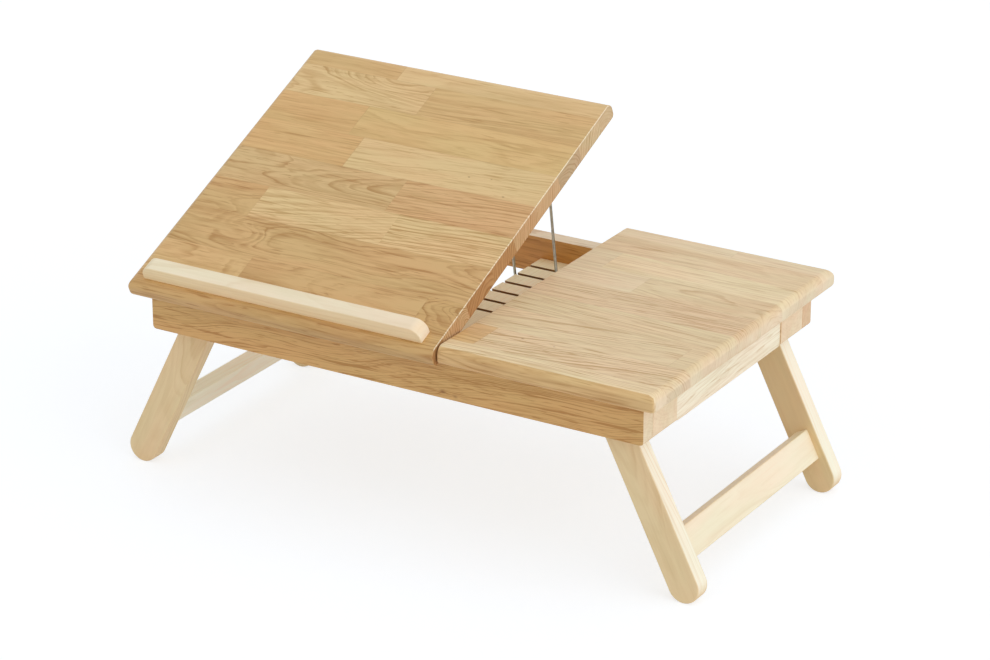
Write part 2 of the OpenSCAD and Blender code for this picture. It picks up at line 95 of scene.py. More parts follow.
class Tone(Enum):
    """Ground colours of the timber, as display values from 0 to 255; those marked carry painted
    light and shade.
    """

    HONEY = (217, 180, 124)
    ROSE = (219, 180, 122)
    GOLD = (219, 184, 125)
    STRAW = (225, 193, 140)
    OLIVE = (213, 180, 127)
    # The end rails' tone, paler partly as painted light on their outward faces
    PALE = (224, 195, 143)
    BROWN = (211, 173, 117)
    PINK = (217, 176, 124)
    SAND = (231, 205, 164)
    BLUSH = (229, 200, 160)
    WHEAT = (229, 204, 162)
    CHALK = (233, 210, 173)
    MILK = (238, 215, 174)
    RAIL = (210, 166, 104)
    # The rear rail's own tone, made more orange as painted warm bounce light in the shaded bay
    RAIL_LIGHT = (205, 151, 84)
    # Painted light: the pale colour that faces turned to the lamps are pulled towards
    CREAM = (249, 240, 220)
    # Painted shade in the rack's slots
    BURNT = (168, 132, 90)
    # Front staves' tones, also used as painted shade on the forward faces of the tops
    NOSE = (206, 166, 108)
    EDGE = (221, 185, 130)
    END_GREY = (221, 201, 164)
    END_DULL = (203, 180, 146)
    END_PINK = (217, 185, 146)
    END_BROWN = (198, 156, 109)
    STOP = (240, 215, 174)
    MAPLE = (236, 212, 168)
    MAPLE_WARM = (232, 206, 163)
    # Painted shade: a darker maple for the rear legs
    MAPLE_SHADE = (226, 199, 153)
    # Painted light: near-white maple that lifts the rack and the left stretcher in the shade under
    # the tops
    MAPLE_GREY = (250, 240, 212)


class Along(Enum):
    """Axis that the grain runs along, as the order of the axes: along, across, through."""

    X = (0, 1, 2)
    Y = (1, 0, 2)
    Z = (2, 0, 1)


class Layer(Enum):
    """Noise layers of the timber.

    The values are cycles per metre along and across the grain, the number of finer layers
    and the strength of each.
    """

    SWAY_ACROSS = (3.5, 11, 1.0, 0.5)
    SWAY_THROUGH = (5.0, 16, 1.0, 0.5)
    SHAKE = (16, 85, 2.0, 0.5)
    FADE = (5, 30, 1.0, 0.5)
    BROKEN = (9, 9, 1.0, 0.5)
    LINES = (7, 350, 2.0, 0.6)
    FIBRE = (26, 480, 2.0, 0.65)
    CRACKS = (13, 300, 1.5, 0.5)
    STREAK = (5, 150, 2.0, 0.5)
    CLOUD = (3.5, 15, 1.5, 0.5)
    VESSEL = (42, 540, 1.0, 0.5)
    WARMTH = (9, 34, 2.0, 0.5)


@dataclass(frozen=True)
class Stave:
    """How one strip of timber was cut from its log.

    heart is the place of the log's heart across and through the strip, from its middle, in mm.
    drift is how fast the heart wanders across and through along the grain, in mm per mm.
    ring is the mean width of a year ring in mm, depth the strength of the rings and wave
    how much they meander. seed picks the strip's own random figure, and knotty is the
    number of the knots of its finish that the strip has.
    """

    tone: Tone
    heart: Pair
    drift: Pair
    ring: float
    depth: float
    wave: float
    seed: float
    knotty: float = 0.0


@dataclass(frozen=True)
class Row:
    """One row of the glued-up panel: its width and its staves.

    ends holds the distance of each stave's right end from the board's left edge in mm;
    the last stave runs to the board's right edge.
    """

    width: float
    staves: tuple[Stave, ...]
    ends: tuple[float, ...] = ()


# The rows of the panel from the rear, in the desk and in the fixed top
DESK_ROWS = (
    Row(28.0, (Stave(Tone.HONEY, (40, -30), (0, 0.02), 4.0, 0.2, 0.8, 1),
               Stave(Tone.STRAW, (-12, -22), (0.02, 0), 3.6, 0.15, 0.8, 2)), (120,)),
    Row(44.5, (Stave(Tone.STRAW, (22, -28), (0.03, 0.05), 4.2, 0.85, 2.2, 3),
               Stave(Tone.HONEY, (70, -50), (0.09, 0.03), 3.6, 0.5, 1.0, 4)), (169,)),
    Row(45.5, (Stave(Tone.ROSE, (80, -30), (0.06, 0), 3.6, 0.25, 0.8, 5),
               Stave(Tone.GOLD, (-14, -24), (-0.04, 0.01), 3.8, 0.35, 1.2, 6)), (113,)),
    Row(46.0, (Stave(Tone.ROSE, (-60, -30), (0.03, 0), 3.8, 0.4, 0.8, 7),
               Stave(Tone.STRAW, (95, -35), (0.12, 0.02), 3.0, 0.42, 0.6, 8, 2)), (133,)),
    Row(48.0, (Stave(Tone.OLIVE, (12, -26), (0.04, 0.06), 4.2, 0.85, 1.8, 9),
               Stave(Tone.PINK, (56, -22), (0.10, 0), 3.0, 0.95, 0.7, 10)), (212,)),
    Row(46.0, (Stave(Tone.BROWN, (-16, -30), (0.02, 0.05), 4.2, 0.85, 1.6, 11),
               Stave(Tone.STRAW, (46, -22), (0.22, 0.02), 4.2, 0.85, 0.8, 12),
               Stave(Tone.STRAW, (36, -14), (0.06, 0), 3.2, 1.15, 0.6, 13)), (73, 231)),
    Row(51.5, (Stave(Tone.BROWN, (14, -34), (0.01, 0.06), 4.0, 1.0, 1.5, 14, 1),)),
    Row(47.5, (Stave(Tone.HONEY, (8, -26), (0.02, 0.07), 4.4, 0.6, 1.6, 15),
               Stave(Tone.BROWN, (6, -38), (0, 0.08), 4.2, 0.75, 1.2, 16),
               Stave(Tone.NOSE, (10, -12), (0.10, 0.28), 2.6, 1.1, 1.3, 17)), (113, 321)),
    Row(23.0, (Stave(Tone.NOSE, (60, -30), (0.02, 0), 2.6, 0.95, 0.6, 18),)))
FIXED_ROWS = (
    Row(28.0, (Stave(Tone.CHALK, (40, -30), (0, 0.02), 3.6, 0.1, 0.8, 31),
               Stave(Tone.CHALK, (60, -40), (0.02, 0.02), 4.0, 0.1, 0.8, 32)), (133,)),
    Row(44.5, (Stave(Tone.SAND, (30, -50), (0.03, 0.03), 4.6, 0.45, 1.2, 33),)),
    Row(45.5, (Stave(Tone.CHALK, (70, -30), (0, 0), 4.0, 0.2, 0.8, 34),
               Stave(Tone.MILK, (90, -40), (0.04, 0), 4.0, 0.45, 1.2, 35)), (33,)),
    Row(46.0, (Stave(Tone.CHALK, (-70, -30), (0.03, 0), 4.2, 0.4, 0.8, 36),
               Stave(Tone.WHEAT, (10, -24), (0.04, 0.06), 4.2, 0.6, 1.8, 37)), (91,)),
    Row(48.0, (Stave(Tone.BLUSH, (90, -25), (0.10, 0), 3.2, 0.95, 0.7, 38),)),
    Row(46.0, (Stave(Tone.WHEAT, (100, -30), (-0.05, 0), 4.2, 0.75, 0.9, 39),)),
    Row(51.5, (Stave(Tone.SAND, (60, -30), (0.24, 0.02), 4.0, 0.6, 0.8, 40),
               Stave(Tone.WHEAT, (50, -30), (0, 0), 4.0, 0.4, 1.0, 41)), (213,)),
    Row(47.5, (Stave(Tone.EDGE, (20, -30), (0, 0), 4.2, 0.8, 0.8, 42),
               Stave(Tone.SAND, (-50, -22), (0.16, 0.02), 4.4, 1.1, 0.9, 43, 3)), (27,)),
    Row(23.0, (Stave(Tone.MILK, (60, -30), (0.02, 0), 2.8, 0.75, 0.6, 44),)))


def dress(obj: bpy.types.Object, material: bpy.types.Material) -> None:
    """Give an object one material."""
    obj.data.materials.clear()
    obj.data.materials.append(material)


class Bench:
    """One piece on the bench: a mesh that is shaped with edit-mode operators and modifiers."""

    def __init__(self, name: str) -> None:
        """Take the object that was just added, name it and leave it at the origin.

        Args:
            name: Name of the piece.
        """
        self.obj = bpy.context.object
        self.obj.name = self.obj.data.name = name
        bpy.ops.object.transform_apply(location=True, rotation=True, scale=True)

    @classmethod
    def block(cls, name: str, low: Vector, high: Vector) -> "Bench":
        """Start a piece from a block between two corners.

        Args:
            name: Name of the piece.
            low: Lowest corner in metres.
            high: Highest corner in metres.

        Returns:
            The bench with the new piece on it.
        """
        bpy.ops.object.select_all(action="DESELECT")
        bpy.ops.mesh.primitive_cube_add(size=1, location=(low + high) / 2, scale=high - low)
        return cls(name)

    @classmethod
    def rod(cls, name: str, start: Vector, end: Vector, radius: float) -> "Bench":
        """Start a piece from a round rod between two points.

        Args:
            name: Name of the piece.
            start: Middle of one end in metres.
            end: Middle of the other end in metres.
            radius: Radius in mm.

        Returns:
            The bench with the new piece on it.
        """
        bpy.ops.object.select_all(action="DESELECT")
        way = end - start
        bpy.ops.mesh.primitive_cylinder_add(
            vertices=ROD_SIDES, radius=radius * MM, depth=way.length, location=(start + end) / 2,
            rotation=way.to_track_quat("Z", "Y").to_euler())
        return cls(name)

    def take(self) -> None:
        """Select this piece alone and make it the active one."""
        bpy.ops.object.select_all(action="DESELECT")
        self.obj.select_set(True)
        bpy.context.view_layer.objects.active = self.obj

    @contextmanager
    def editing(self, mode: str, everything: bool = False) -> Iterator[None]:
        """Open the piece in edit mode for the time of a block.

        Args:
            mode: Kind of element that is picked: VERT, EDGE or FACE.
            everything: Start with everything selected, and not with nothing.

        Returns:
            The block's time in edit mode.
        """
        self.take()
        bpy.ops.object.mode_set(mode="EDIT")
        bpy.ops.mesh.select_mode(type=mode)
        bpy.ops.mesh.select_all(action="SELECT" if everything else "DESELECT")
        yield
        bpy.ops.object.mode_set(mode="OBJECT")

    def round_edges(self, test: Test, radius: float, steps: int) -> None:
        """Round the edges that pass a test.

        Args:
            test: Takes an edge's middle and its unit direction.
            radius: Radius of the rounding in mm.
            steps: Number of flats that make the rounding.
        """
        with self.editing("EDGE"):
            mesh = bmesh.from_edit_mesh(self.obj.data)
            for edge in mesh.edges:
                a, b = (v.co for v in edge.verts)
                edge.select_set(bool(test((a + b) / 2, (b - a).normalized())))
            bmesh.update_edit_mesh(self.obj.data)
            bpy.ops.mesh.bevel(offset_type="OFFSET", offset=radius * MM, segments=steps,
                               profile=0.5, affect="EDGES", clamp_overlap=False)

    def part(self, place: Vector, normal: Triple, low: float = -math.inf,
             high: float = math.inf) -> None:
        """Part the mesh by a plane, which leaves it whole but with new edges there.

        Args:
            place: A point of the plane.
            normal: The plane's normal.
            low: Faces whose middle lies further forward, in mm, aren't parted.
            high: Faces whose middle lies further back, in mm, aren't parted.
        """
        with self.editing("FACE"):
            mesh = bmesh.from_edit_mesh(self.obj.data)
            for face in mesh.faces:
                face.select_set(low * MM < face.calc_center_median().y < high * MM)
            bmesh.update_edit_mesh(self.obj.data)
            bpy.ops.mesh.bisect(plane_co=place, plane_no=normal)

    def merge(self, distance: float) -> None:
        """Merge the points of the mesh that lie nearer than a distance in mm."""
        with self.editing("VERT", everything=True):
            bpy.ops.mesh.remove_doubles(threshold=distance * MM)

    def modify(self, kind: str, **settings: object) -> None:
        """Add a modifier and apply it.

        Args:
            kind: Kind of modifier.
            settings: Its settings.
        """
        self.take()
        bpy.ops.object.modifier_add(type=kind)
        mod = self.obj.modifiers[-1]
        for key, value in settings.items():
            setattr(mod, key, value)
        bpy.ops.object.modifier_apply(modifier=mod.name)

    def ease(self, width: float, angle: float = 40.0) -> None:
        """Take the sharpness off every edge steeper than an angle, by a width in mm."""
        self.modify("BEVEL", width=width * MM, segments=2, limit_method="ANGLE",
                    angle_limit=math.radians(angle))

    def cut_away(self, tools: Sequence["Bench"]) -> None:
        """Cut other pieces out of this one and throw them away.

        Args:
            tools: The pieces to cut with.
        """
        for tool in tools:
            self.modify("BOOLEAN", operation="DIFFERENCE", solver="EXACT", object=tool.obj)
            bpy.data.objects.remove(tool.obj)

    def smooth(self, angle: float = 32.0) -> None:
        """Shade the roundings smooth and keep the flats flat.

        Args:
            angle: Greatest angle in degrees that is shaded smooth.
        """
        self.take()
        bpy.ops.object.shade_smooth_by_angle(angle=math.radians(angle))
        self.modify("WEIGHTED_NORMAL", keep_sharp=True)

    def place(self, matrix: Matrix) -> None:
        """Move the mesh to its place, with the object left at the origin."""
        self.obj.data.transform(matrix)
        self.obj.data.update()

    def hand_over(self, material: bpy.types.Material, matrix: Matrix, body: str, node: str,
                  slot: str) -> bpy.types.Object:
        """Dress the piece, put it in its place on its body and hide the node that it replaces.

        Args:
            material: The piece's finish.
            matrix: Turn from where the piece was drawn to its place.
            body: The body that it rides on.
            node: The node that it replaces.
            slot: Not used.

        Returns:
            The finished piece.
        """
        dress(self.obj, material)
        self.place(matrix)
        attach(self.obj, body)
        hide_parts(node)
        return self.obj


@dataclass(frozen=True)
class Cut:
    """The strip that a face belongs to, with the strip's middle and half sizes in metres.

    The last field is the share of painted light, by which the face's ground colour is pulled
    towards a pale cream on lit faces and highlit edges.
    """

    stave: Stave
    middle: Vector
    half: Pair = (9.0, 9.0)
    pale: float = 0.0


def painted_light_facing(normal: Vector, shares: Triple) -> float:
    """Return a face's share of painted light from those of faces looking along X, along Y and up.
    """
    parts = (normal.x, normal.y, max(normal.z, 0.0))
    return sum(share * part ** 4 for share, part in zip(shares, parts))


def write_grain(obj: bpy.types.Object, along: Along,
                cut_at: Callable[[Vector, Vector], Cut]) -> None:
    """Write on a mesh how the timber of each face was cut, for the timber finishes.

    Args:
        obj: The piece, still in the place where it was drawn.
        along: Axis that the grain runs along.
        cut_at: Gives the cut for a face's middle and normal.
    """
    mesh = obj.data
    corners, faces = len(mesh.loops), len(mesh.polygons)
    place, end = np.zeros((corners, 3), np.float32), np.zeros(corners, np.float32)
    heart, drift, figure, seam = (np.zeros((faces, 3), np.float32) for _ in range(4))
    tone = np.zeros((faces, 4), np.float32)
    # Painted light: a face's share of it pulls its ground colour towards this pale cream
    painted_light_colour = np.array(linear(Tone.CREAM.value))
    for face in mesh.polygons:
        cut = cut_at(face.center, face.normal)
        stave, i = cut.stave, face.index
        heart[i] = (stave.heart[0] * MM, stave.heart[1] * MM, stave.ring * MM)
        drift[i] = (*stave.drift, stave.seed)
        figure[i] = (stave.depth, stave.wave, stave.knotty)
        seam[i] = (*cut.half, 0.0)
        tone[i] = np.array(linear(stave.tone.value)) * (1 - cut.pale) + painted_light_colour * cut.pale
        for k in face.loop_indices:
            local = mesh.vertices[mesh.loops[k].vertex_index].co - cut.middle
            place[k] = [local[axis] for axis in along.value]
            end[k] = abs(mesh.corner_normals[k].vector[along.value[0]])
    for name, kind, domain, key, values in (
            (GRAIN, "FLOAT_VECTOR", "CORNER", "vector", place),
            (END, "FLOAT", "CORNER", "value", end),
            (HEART, "FLOAT_VECTOR", "FACE", "vector", heart),
            (DRIFT, "FLOAT_VECTOR", "FACE", "vector", drift),
            (FIGURE, "FLOAT_VECTOR", "FACE", "vector", figure),
            (SEAM, "FLOAT_VECTOR", "FACE", "vector", seam),
            (TONE_AND_LIGHT, "FLOAT_COLOR", "FACE", "color", tone)):
        mesh.attributes.new(name, kind, domain).data.foreach_set(key, values.ravel())


class Nodes:
    """A node tree, with short calls that add one node each."""

    def __init__(self, tree: bpy.types.NodeTree) -> None:
        """Take a node tree."""
        self.tree = tree

    def feed(self, socket: Socket, value: Feed) -> None:
        """Link a socket to another one, or set its value.

        Args:
            socket: The socket that is fed.
            value: The other socket, or the value.
        """
        if isinstance(value, bpy.types.NodeSocket):
            self.tree.links.new(value, socket)
        else:
            socket.default_value = value

    def node(self, kind: str, *parts: Feed, **settings: object) -> bpy.types.Node:
        """Add a node.

        Args:
            kind: Kind of node, without the words ShaderNode.
            parts: What the node's first sockets are fed with, in order.
            settings: The node's own settings.

        Returns:
            The node.
        """
        node = self.tree.nodes.new("ShaderNode" + kind)
        for key, value in settings.items():
            setattr(node, key, value)
        for socket, part in zip(node.inputs, parts):
            self.feed(socket, part)
        return node

    def math(self, operation: str, a: Feed, b: Feed = 0.0, clamp: bool = False) -> Socket:
        """Work out one operation on two values, clamped to 0 and 1 if asked."""
        return self.node("Math", a, b, operation=operation, use_clamp=clamp).outputs[0]

    def add(self, a: Feed, b: Feed) -> Socket:
        """Add two values."""
        return self.math("ADD", a, b)

    def sub(self, a: Feed, b: Feed) -> Socket:
        """Take the second value from the first."""
        return self.math("SUBTRACT", a, b)

    def mul(self, a: Feed, b: Feed) -> Socket:
        """Multiply two values."""
        return self.math("MULTIPLY", a, b)

    def ramp(self, value: Feed, low: float, high: float, to_low: float = 0.0,
             to_high: float = 1.0) -> Socket:
        """Map a value smoothly from the range of low to high onto that of to_low to to_high."""
        return self.node("MapRange", value, low, high, to_low, to_high,
                         interpolation_type="SMOOTHSTEP").outputs[0]

    def attribute(self, name: str, output: str = "Vector") -> Socket:
        """Read an attribute of the mesh; output names the socket to take."""
        return self.node("Attribute", attribute_name=name).outputs[output]

    def split(self, vector: Socket) -> Sequence[Socket]:
        """Take a vector apart into its three numbers."""
        return self.node("SeparateXYZ", vector).outputs

    def vector(self, *parts: Feed) -> Socket:
        """Put three numbers together into a vector."""
        return self.node("CombineXYZ", *parts).outputs[0]

    def vectors(self, operation: str, *parts: Feed) -> bpy.types.Node:
        """Add a node that works out one operation on vectors."""
        return self.node("VectorMath", *parts, operation=operation)

    def noise(self, place: Socket, along: float, across: float, detail: float = 2.0,
              rough: float = 0.5) -> Socket:
        """Add noise that is stretched along the grain, centred on zero.

        Args:
            place: Place along, across and through the grain in metres.
            along: Cycles per metre along the grain.
            across: Cycles per metre across it.
            detail: Number of finer layers.
            rough: Strength of each finer layer.

        Returns:
            The noise's socket, from about -0.5 to 0.5.
        """
        stretched = self.vectors("MULTIPLY", place, (along, across, across)).outputs[0]
        node = self.node("TexNoise", stretched)
        for name, value in (("Scale", 1.0), ("Detail", detail), ("Roughness", rough)):
            node.inputs[name].default_value = value
        return self.sub(node.outputs["Fac"], 0.5)

    def mix(self, factor: Feed, a: Feed, b: Feed, blend: str = "MIX") -> Socket:
        """Mix two colours.

        Args:
            factor: Share of the second colour.
            a: First colour.
            b: Second colour.
            blend: Kind of mixing.

        Returns:
            The mixed colour's socket.
        """
        node = self.node("Mix", factor, data_type="RGBA", blend_type=blend)
        self.feed(node.inputs[6], a)
        self.feed(node.inputs[7], b)
        return node.outputs[2]

    def stain(self, colour: Feed, tint: Feed, share: Feed = 1.0) -> Socket:
        """Multiply a colour by a tint, fully or by a share."""
        return self.mix(share, colour, tint, "MULTIPLY")

    def seen(self) -> Socket:
        """Return 1 where the camera or a reflection looks, and 0 for all other light."""
        path = self.node("LightPath").outputs
        return self.math("MAXIMUM", path["Is Camera Ray"], path["Is Glossy Ray"])


class Sheet(Nodes):
    """The node tree of a new material."""

    def __init__(self, name: str) -> None:
        """Start the material with its shader.

        Args:
            name: Name of the material.
        """
        self.material = bpy.data.materials.new(name)
        self.material.use_nodes = True
        super().__init__(self.material.node_tree)
        self.shader = self.tree.nodes["Principled BSDF"].inputs

    def finish(self, colour: Feed, rough: Feed) -> bpy.types.Material:
        """Feed the shader's colour and roughness.

        Args:
            colour: Base colour.
            rough: Roughness.

        Returns:
            The material.
        """
        self.feed(self.shader["Base Color"], colour)
        self.feed(self.shader["Roughness"], rough)
        return self.material

    def emboss(self, height: Socket, strength: float, distance: float) -> None:
        """Bump the surface.

        Args:
            height: Height of the surface.
            strength: Strength of the bump.
            distance: Height in mm that a whole step stands for.
        """
        bump = self.node("Bump")
        bump.inputs["Strength"].default_value = strength
        bump.inputs["Distance"].default_value = distance * MM
        self.feed(bump.inputs["Height"], height)
        self.feed(self.shader["Normal"], bump.outputs[0])


@dataclass(frozen=True)
class Knot:
    """A small knot or oval figure: its place along, across and through the grain in mm.

    size is its radius, swell how far it pushes the rings aside, both in mm, and dark how
    dark its heart is. It shows in the strips whose knotty is its number.
    """

    place: Triple
    size: float
    swell: float
    dark: float
    number: float = 1.0


@dataclass(frozen=True)
class TimberFinish:
    """Oiled timber: year rings around each strip's heart, fibres, pores and glue lines.

    late and end are the factors that the late wood and the end grain pull the ground
    colour by. The other numbers are strengths; end_rings is how much weaker the rings are
    on end grain, or stronger below zero.
    """

    name: str
    late: Triple = (0.74, 0.60, 0.42)
    end: Triple = (0.93, 0.87, 0.80)
    rings: float = 1.25
    lines: float = 1.3
    fibre: float = 0.95
    streak: float = 0.45
    cloud: float = 0.55
    pores: float = 0.65
    cracks: float = 0.45
    end_rings: float = -1.3
    glue: float = 0.35
    roughness: float = 0.42
    bump: float = 0.25
    knots: tuple[Knot, ...] = ()

    def make(self) -> bpy.types.Material:
        """Build the material."""
        return TimberSheet(self).build()


class TimberSheet(Sheet):
    """The node tree of a timber finish, over the attributes that write_grain writes.

    place is the place along, across and through the grain from the strip's middle, and
    spot the same place moved by the strip's seed, so that no two strips share a figure.
    """

    SEED_STEPS = (3.7, 0.9, 0.5)            # metres from one seed's figure to the next
    SWAY = 0.026                            # how far a heart wanders, in metres
    RIPPLE = 0.0030                         # how far a ring shakes, in metres
    UNEVEN_PITCH, UNEVEN_RINGS = 90.0, 2.0  # unevenness of the rings: cycles a metre, rings
    LATE = (0.40, 0.90)                     # parts of a ring where the late wood starts, ends
    EARLY = 0.45                            # part of a ring where the early wood ends
    YEARS = (0.75, 0.25)                    # chance and sure part of each year's strength
    FADE = (-0.25, 0.25, 0.45, 1.0)         # noise range and the strengths that it gives
    KNOT_SQUEEZE = (0.5, 1.0, 1.0)          # a knot is twice as long as wide
    SWELL_REACH, HEART_REACH = 2.6, 1.3     # radii of a knot that it swells and darkens
    SEAM_WIDTH = 0.7 * MM
    BROKEN = (-0.15, 0.2, 0.2, 1.0)         # noise range and the glue's strengths
    FLATTEN = 0.12                          # how slowly fine lines change across the grain
    CRACKS = (0.11, 0.20)                   # noise that starts and fills a crack
    VESSELS = (0.09, 0.20)                  # noise that starts and fills a pore
    POROUS = (0.7, 0.3)                     # part of the pores in early wood, and anywhere
    LIFE = (0.75, 0.55)                     # figure that goes with the rings' depth, and any
    CALM = (0.10, 0.75, 1.0, 0.15)          # range of end grain, and what is left of figure
    END_GRAIN = (0.55, 0.95)
    GROUND = 0.11                           # late wood's colour that lies on everything
    LIGHT = (1.09, 1.10, 1.13, 1.0)
    COOL, WARM = (0.98, 1.02, 0.98, 1.0), (1.02, 0.98, 0.95, 1.0)
    WARMTH = (-0.25, 0.25)
    KNOT_TINT = (0.42, 0.28, 0.18, 1.0)
    GLUE_TINT = (0.55, 0.42, 0.30, 1.0)
    FIBRE_ROUGH, END_ROUGH = 0.16, 0.12
    RELIEF = 0.5                            # height of fibres and rings beside the pores'
    BUMP_HEIGHT = 0.3

    def __init__(self, finish: TimberFinish) -> None:
        """Read how the strips were cut.

        Args:
            finish: The finish to build.
        """
        super().__init__(finish.name)
        self.finished = finish
        self.place = self.attribute(GRAIN)
        self.ended = self.attribute(END, "Fac")
        self.heart_y, self.heart_z, self.ring = self.split(self.attribute(HEART))
        self.drift_y, self.drift_z, self.seed = self.split(self.attribute(DRIFT))
        self.depth, self.wave, self.knotty = self.split(self.attribute(FIGURE))
        apart = self.vector(*(self.mul(self.seed, step) for step in self.SEED_STEPS))
        self.spot = self.vectors("ADD", self.place, apart).outputs[0]

    def layer(self, layer: Layer) -> Socket:
        """Add one of the noise layers."""
        return self.noise(self.spot, *layer.value)

    def far(self, at: Socket, x: Socket, heart: Socket, drift: Socket, sway: Layer) -> Socket:
        """Return how far a place is from the log's wandering heart, in one direction."""
        straight = self.sub(at, self.add(heart, self.mul(drift, x)))
        return self.add(straight, self.mul(self.layer(sway), self.mul(self.wave, self.SWAY)))

    def radius(self) -> Socket:
        """Return the distance from the log's heart in metres, as a tree grows it.

        Returns:
            The distance.
        """
        x, y, z = self.split(self.place)
        far_y = self.far(y, x, self.heart_y, self.drift_y, Layer.SWAY_ACROSS)
        far_z = self.far(z, x, self.heart_z, self.drift_z, Layer.SWAY_THROUGH)
        shake = self.mul(self.layer(Layer.SHAKE), self.mul(self.wave, self.RIPPLE))
        square = self.add(self.mul(far_y, far_y), self.mul(far_z, far_z))
        radius = self.add(self.math("SQRT", square), shake)
        for knot in self.finished.knots:
            swell = self.mul(self.near(knot, self.SWELL_REACH), knot.swell * MM)
            here = self.math("COMPARE", self.knotty, knot.number)
            radius = self.add(radius, self.mul(swell, here))
        return radius

    def near(self, knot: Knot, reach: float) -> Socket:
        """Return how near a place is to a knot.

        Args:
            knot: The knot.
            reach: Where the nearness ends, in radii of the knot.

        Returns:
            The nearness, from 1 in the knot's heart to 0 at its reach.
        """
        away = self.vectors("SUBTRACT", self.place, mm(*knot.place)).outputs[0]
        squeezed = self.vectors("MULTIPLY", away, self.KNOT_SQUEEZE).outputs[0]
        length = self.vectors("LENGTH", squeezed).outputs["Value"]
        return self.ramp(length, 0.0, reach * knot.size * MM, 1.0, 0.0)

    def ringed(self, radius: Socket) -> tuple[Socket, Socket]:
        """Draw the year rings as narrow bands of late wood.

        Args:
            radius: Distance from the heart in metres.

        Returns:
            The late wood's strength, and the nearness to the early wood where the pores lie.
        """
        uneven = self.node("TexNoise", noise_dimensions="1D")
        uneven.inputs["Scale"].default_value = 1.0
        self.feed(uneven.inputs["W"], self.add(self.mul(radius, self.UNEVEN_PITCH), self.seed))
        turn = self.add(self.math("DIVIDE", radius, self.ring),
                        self.mul(uneven.outputs["Fac"], self.UNEVEN_RINGS))
        part = self.math("FRACT", turn)
        late = self.mul(self.ramp(part, *self.LATE), self.ramp(part, self.LATE[1], 1.0, 1.0, 0.0))
        early = self.ramp(part, 0.0, self.EARLY, 1.0, 0.0)
        year = self.node("TexWhiteNoise", noise_dimensions="1D")
        self.feed(year.inputs["W"], self.add(self.math("FLOOR", turn), self.seed))
        strong = self.add(self.mul(year.outputs["Value"], self.YEARS[0]), self.YEARS[1])
        fade = self.ramp(self.layer(Layer.FADE), *self.FADE)
        strength = self.mul(self.depth, self.mul(fade, self.finished.rings))
        return self.mul(self.mul(late, strong), strength), early

    def glued(self, colour: Socket) -> Socket:
        """Darken a colour in thin broken lines along the edges of the strip.

        Args:
            colour: The colour so far.

        Returns:
            The colour with the glue lines.
        """
        half_x, half_y, _ = self.split(self.attribute(SEAM))
        x, y, _ = self.split(self.place)
        near_x, near_y = (
            self.ramp(self.sub(half, self.math("ABSOLUTE", at)), 0.0, self.SEAM_WIDTH, 1.0, 0.0)
            for half, at in ((half_x, x), (half_y, y)))
        broken = self.ramp(self.layer(Layer.BROKEN), *self.BROKEN)
        line = self.mul(self.math("MAXIMUM", near_x, near_y),
                        self.mul(broken, self.finished.glue))
        return self.stain(colour, self.GLUE_TINT, line)

    def coloured(self, amount: Socket, end: Socket) -> Socket:
        """Colour the strip by its tone and figure.

        Args:
            amount: How much of the late wood's colour shows.
            end: How much the surface is end grain.

        Returns:
            The colour.
        """
        tone = self.attribute(TONE_AND_LIGHT, "Color")
        dark = self.stain(tone, self.finished.late + (1.0,))
        colour = self.mix(amount, self.stain(tone, self.LIGHT), dark)
        warm = self.ramp(self.layer(Layer.WARMTH), *self.WARMTH)
        colour = self.stain(colour, self.mix(warm, self.COOL, self.WARM))
        colour = self.stain(colour, self.finished.end + (1.0,), end)
        for knot in self.finished.knots:
            if knot.dark:
                heart = self.mul(self.near(knot, self.HEART_REACH), knot.dark)
                heart = self.mul(heart, self.math("COMPARE", self.knotty, knot.number))
                colour = self.stain(colour, self.KNOT_TINT, heart)
        return self.glued(colour)

    def build(self) -> bpy.types.Material:
        """Build the material.

        Returns:
            The finished material.
        """
        finish = self.finished
        radius = self.radius()
        rings, early = self.ringed(radius)
        x, y, _ = self.split(self.spot)
        around = self.vector(x, radius, self.mul(y, self.FLATTEN))
        lines = self.noise(around, *Layer.LINES.value)
        fibre = self.layer(Layer.FIBRE)
        cracks = self.ramp(self.layer(Layer.CRACKS), *self.CRACKS)
        vessels = self.mul(self.ramp(self.layer(Layer.VESSEL), *self.VESSELS),
                           self.add(self.mul(early, self.POROUS[0]), self.POROUS[1]))

        end = self.ramp(self.ended, *self.END_GRAIN)
        life = self.add(self.mul(self.depth, self.LIFE[0]), self.LIFE[1])
        calm = self.mul(life, self.ramp(self.ended, *self.CALM))
        vessels = self.mul(vessels, calm)
        amount = self.mul(self.mul(fibre, finish.fibre), calm)
        for strength, layer in (
                (finish.lines, self.mul(lines, calm)),
                (finish.streak, self.layer(Layer.STREAK)),
                (finish.cloud, self.layer(Layer.CLOUD)),
                (finish.pores, vessels),
                (finish.cracks, self.mul(cracks, calm)),
                (self.sub(1.0, self.mul(end, finish.end_rings)), rings)):
            amount = self.add(amount, self.mul(layer, strength))
        amount = self.math("ADD", amount, self.GROUND, clamp=True)

        height = self.sub(self.mul(fibre, self.RELIEF),
                          self.add(vessels, self.mul(rings, self.RELIEF)))
        self.emboss(height, finish.bump, self.BUMP_HEIGHT)
        rough = self.add(self.mul(fibre, self.FIBRE_ROUGH), finish.roughness)
        rough = self.add(rough, self.mul(end, self.END_ROUGH))
        return self.finish(self.coloured(amount, end), rough)


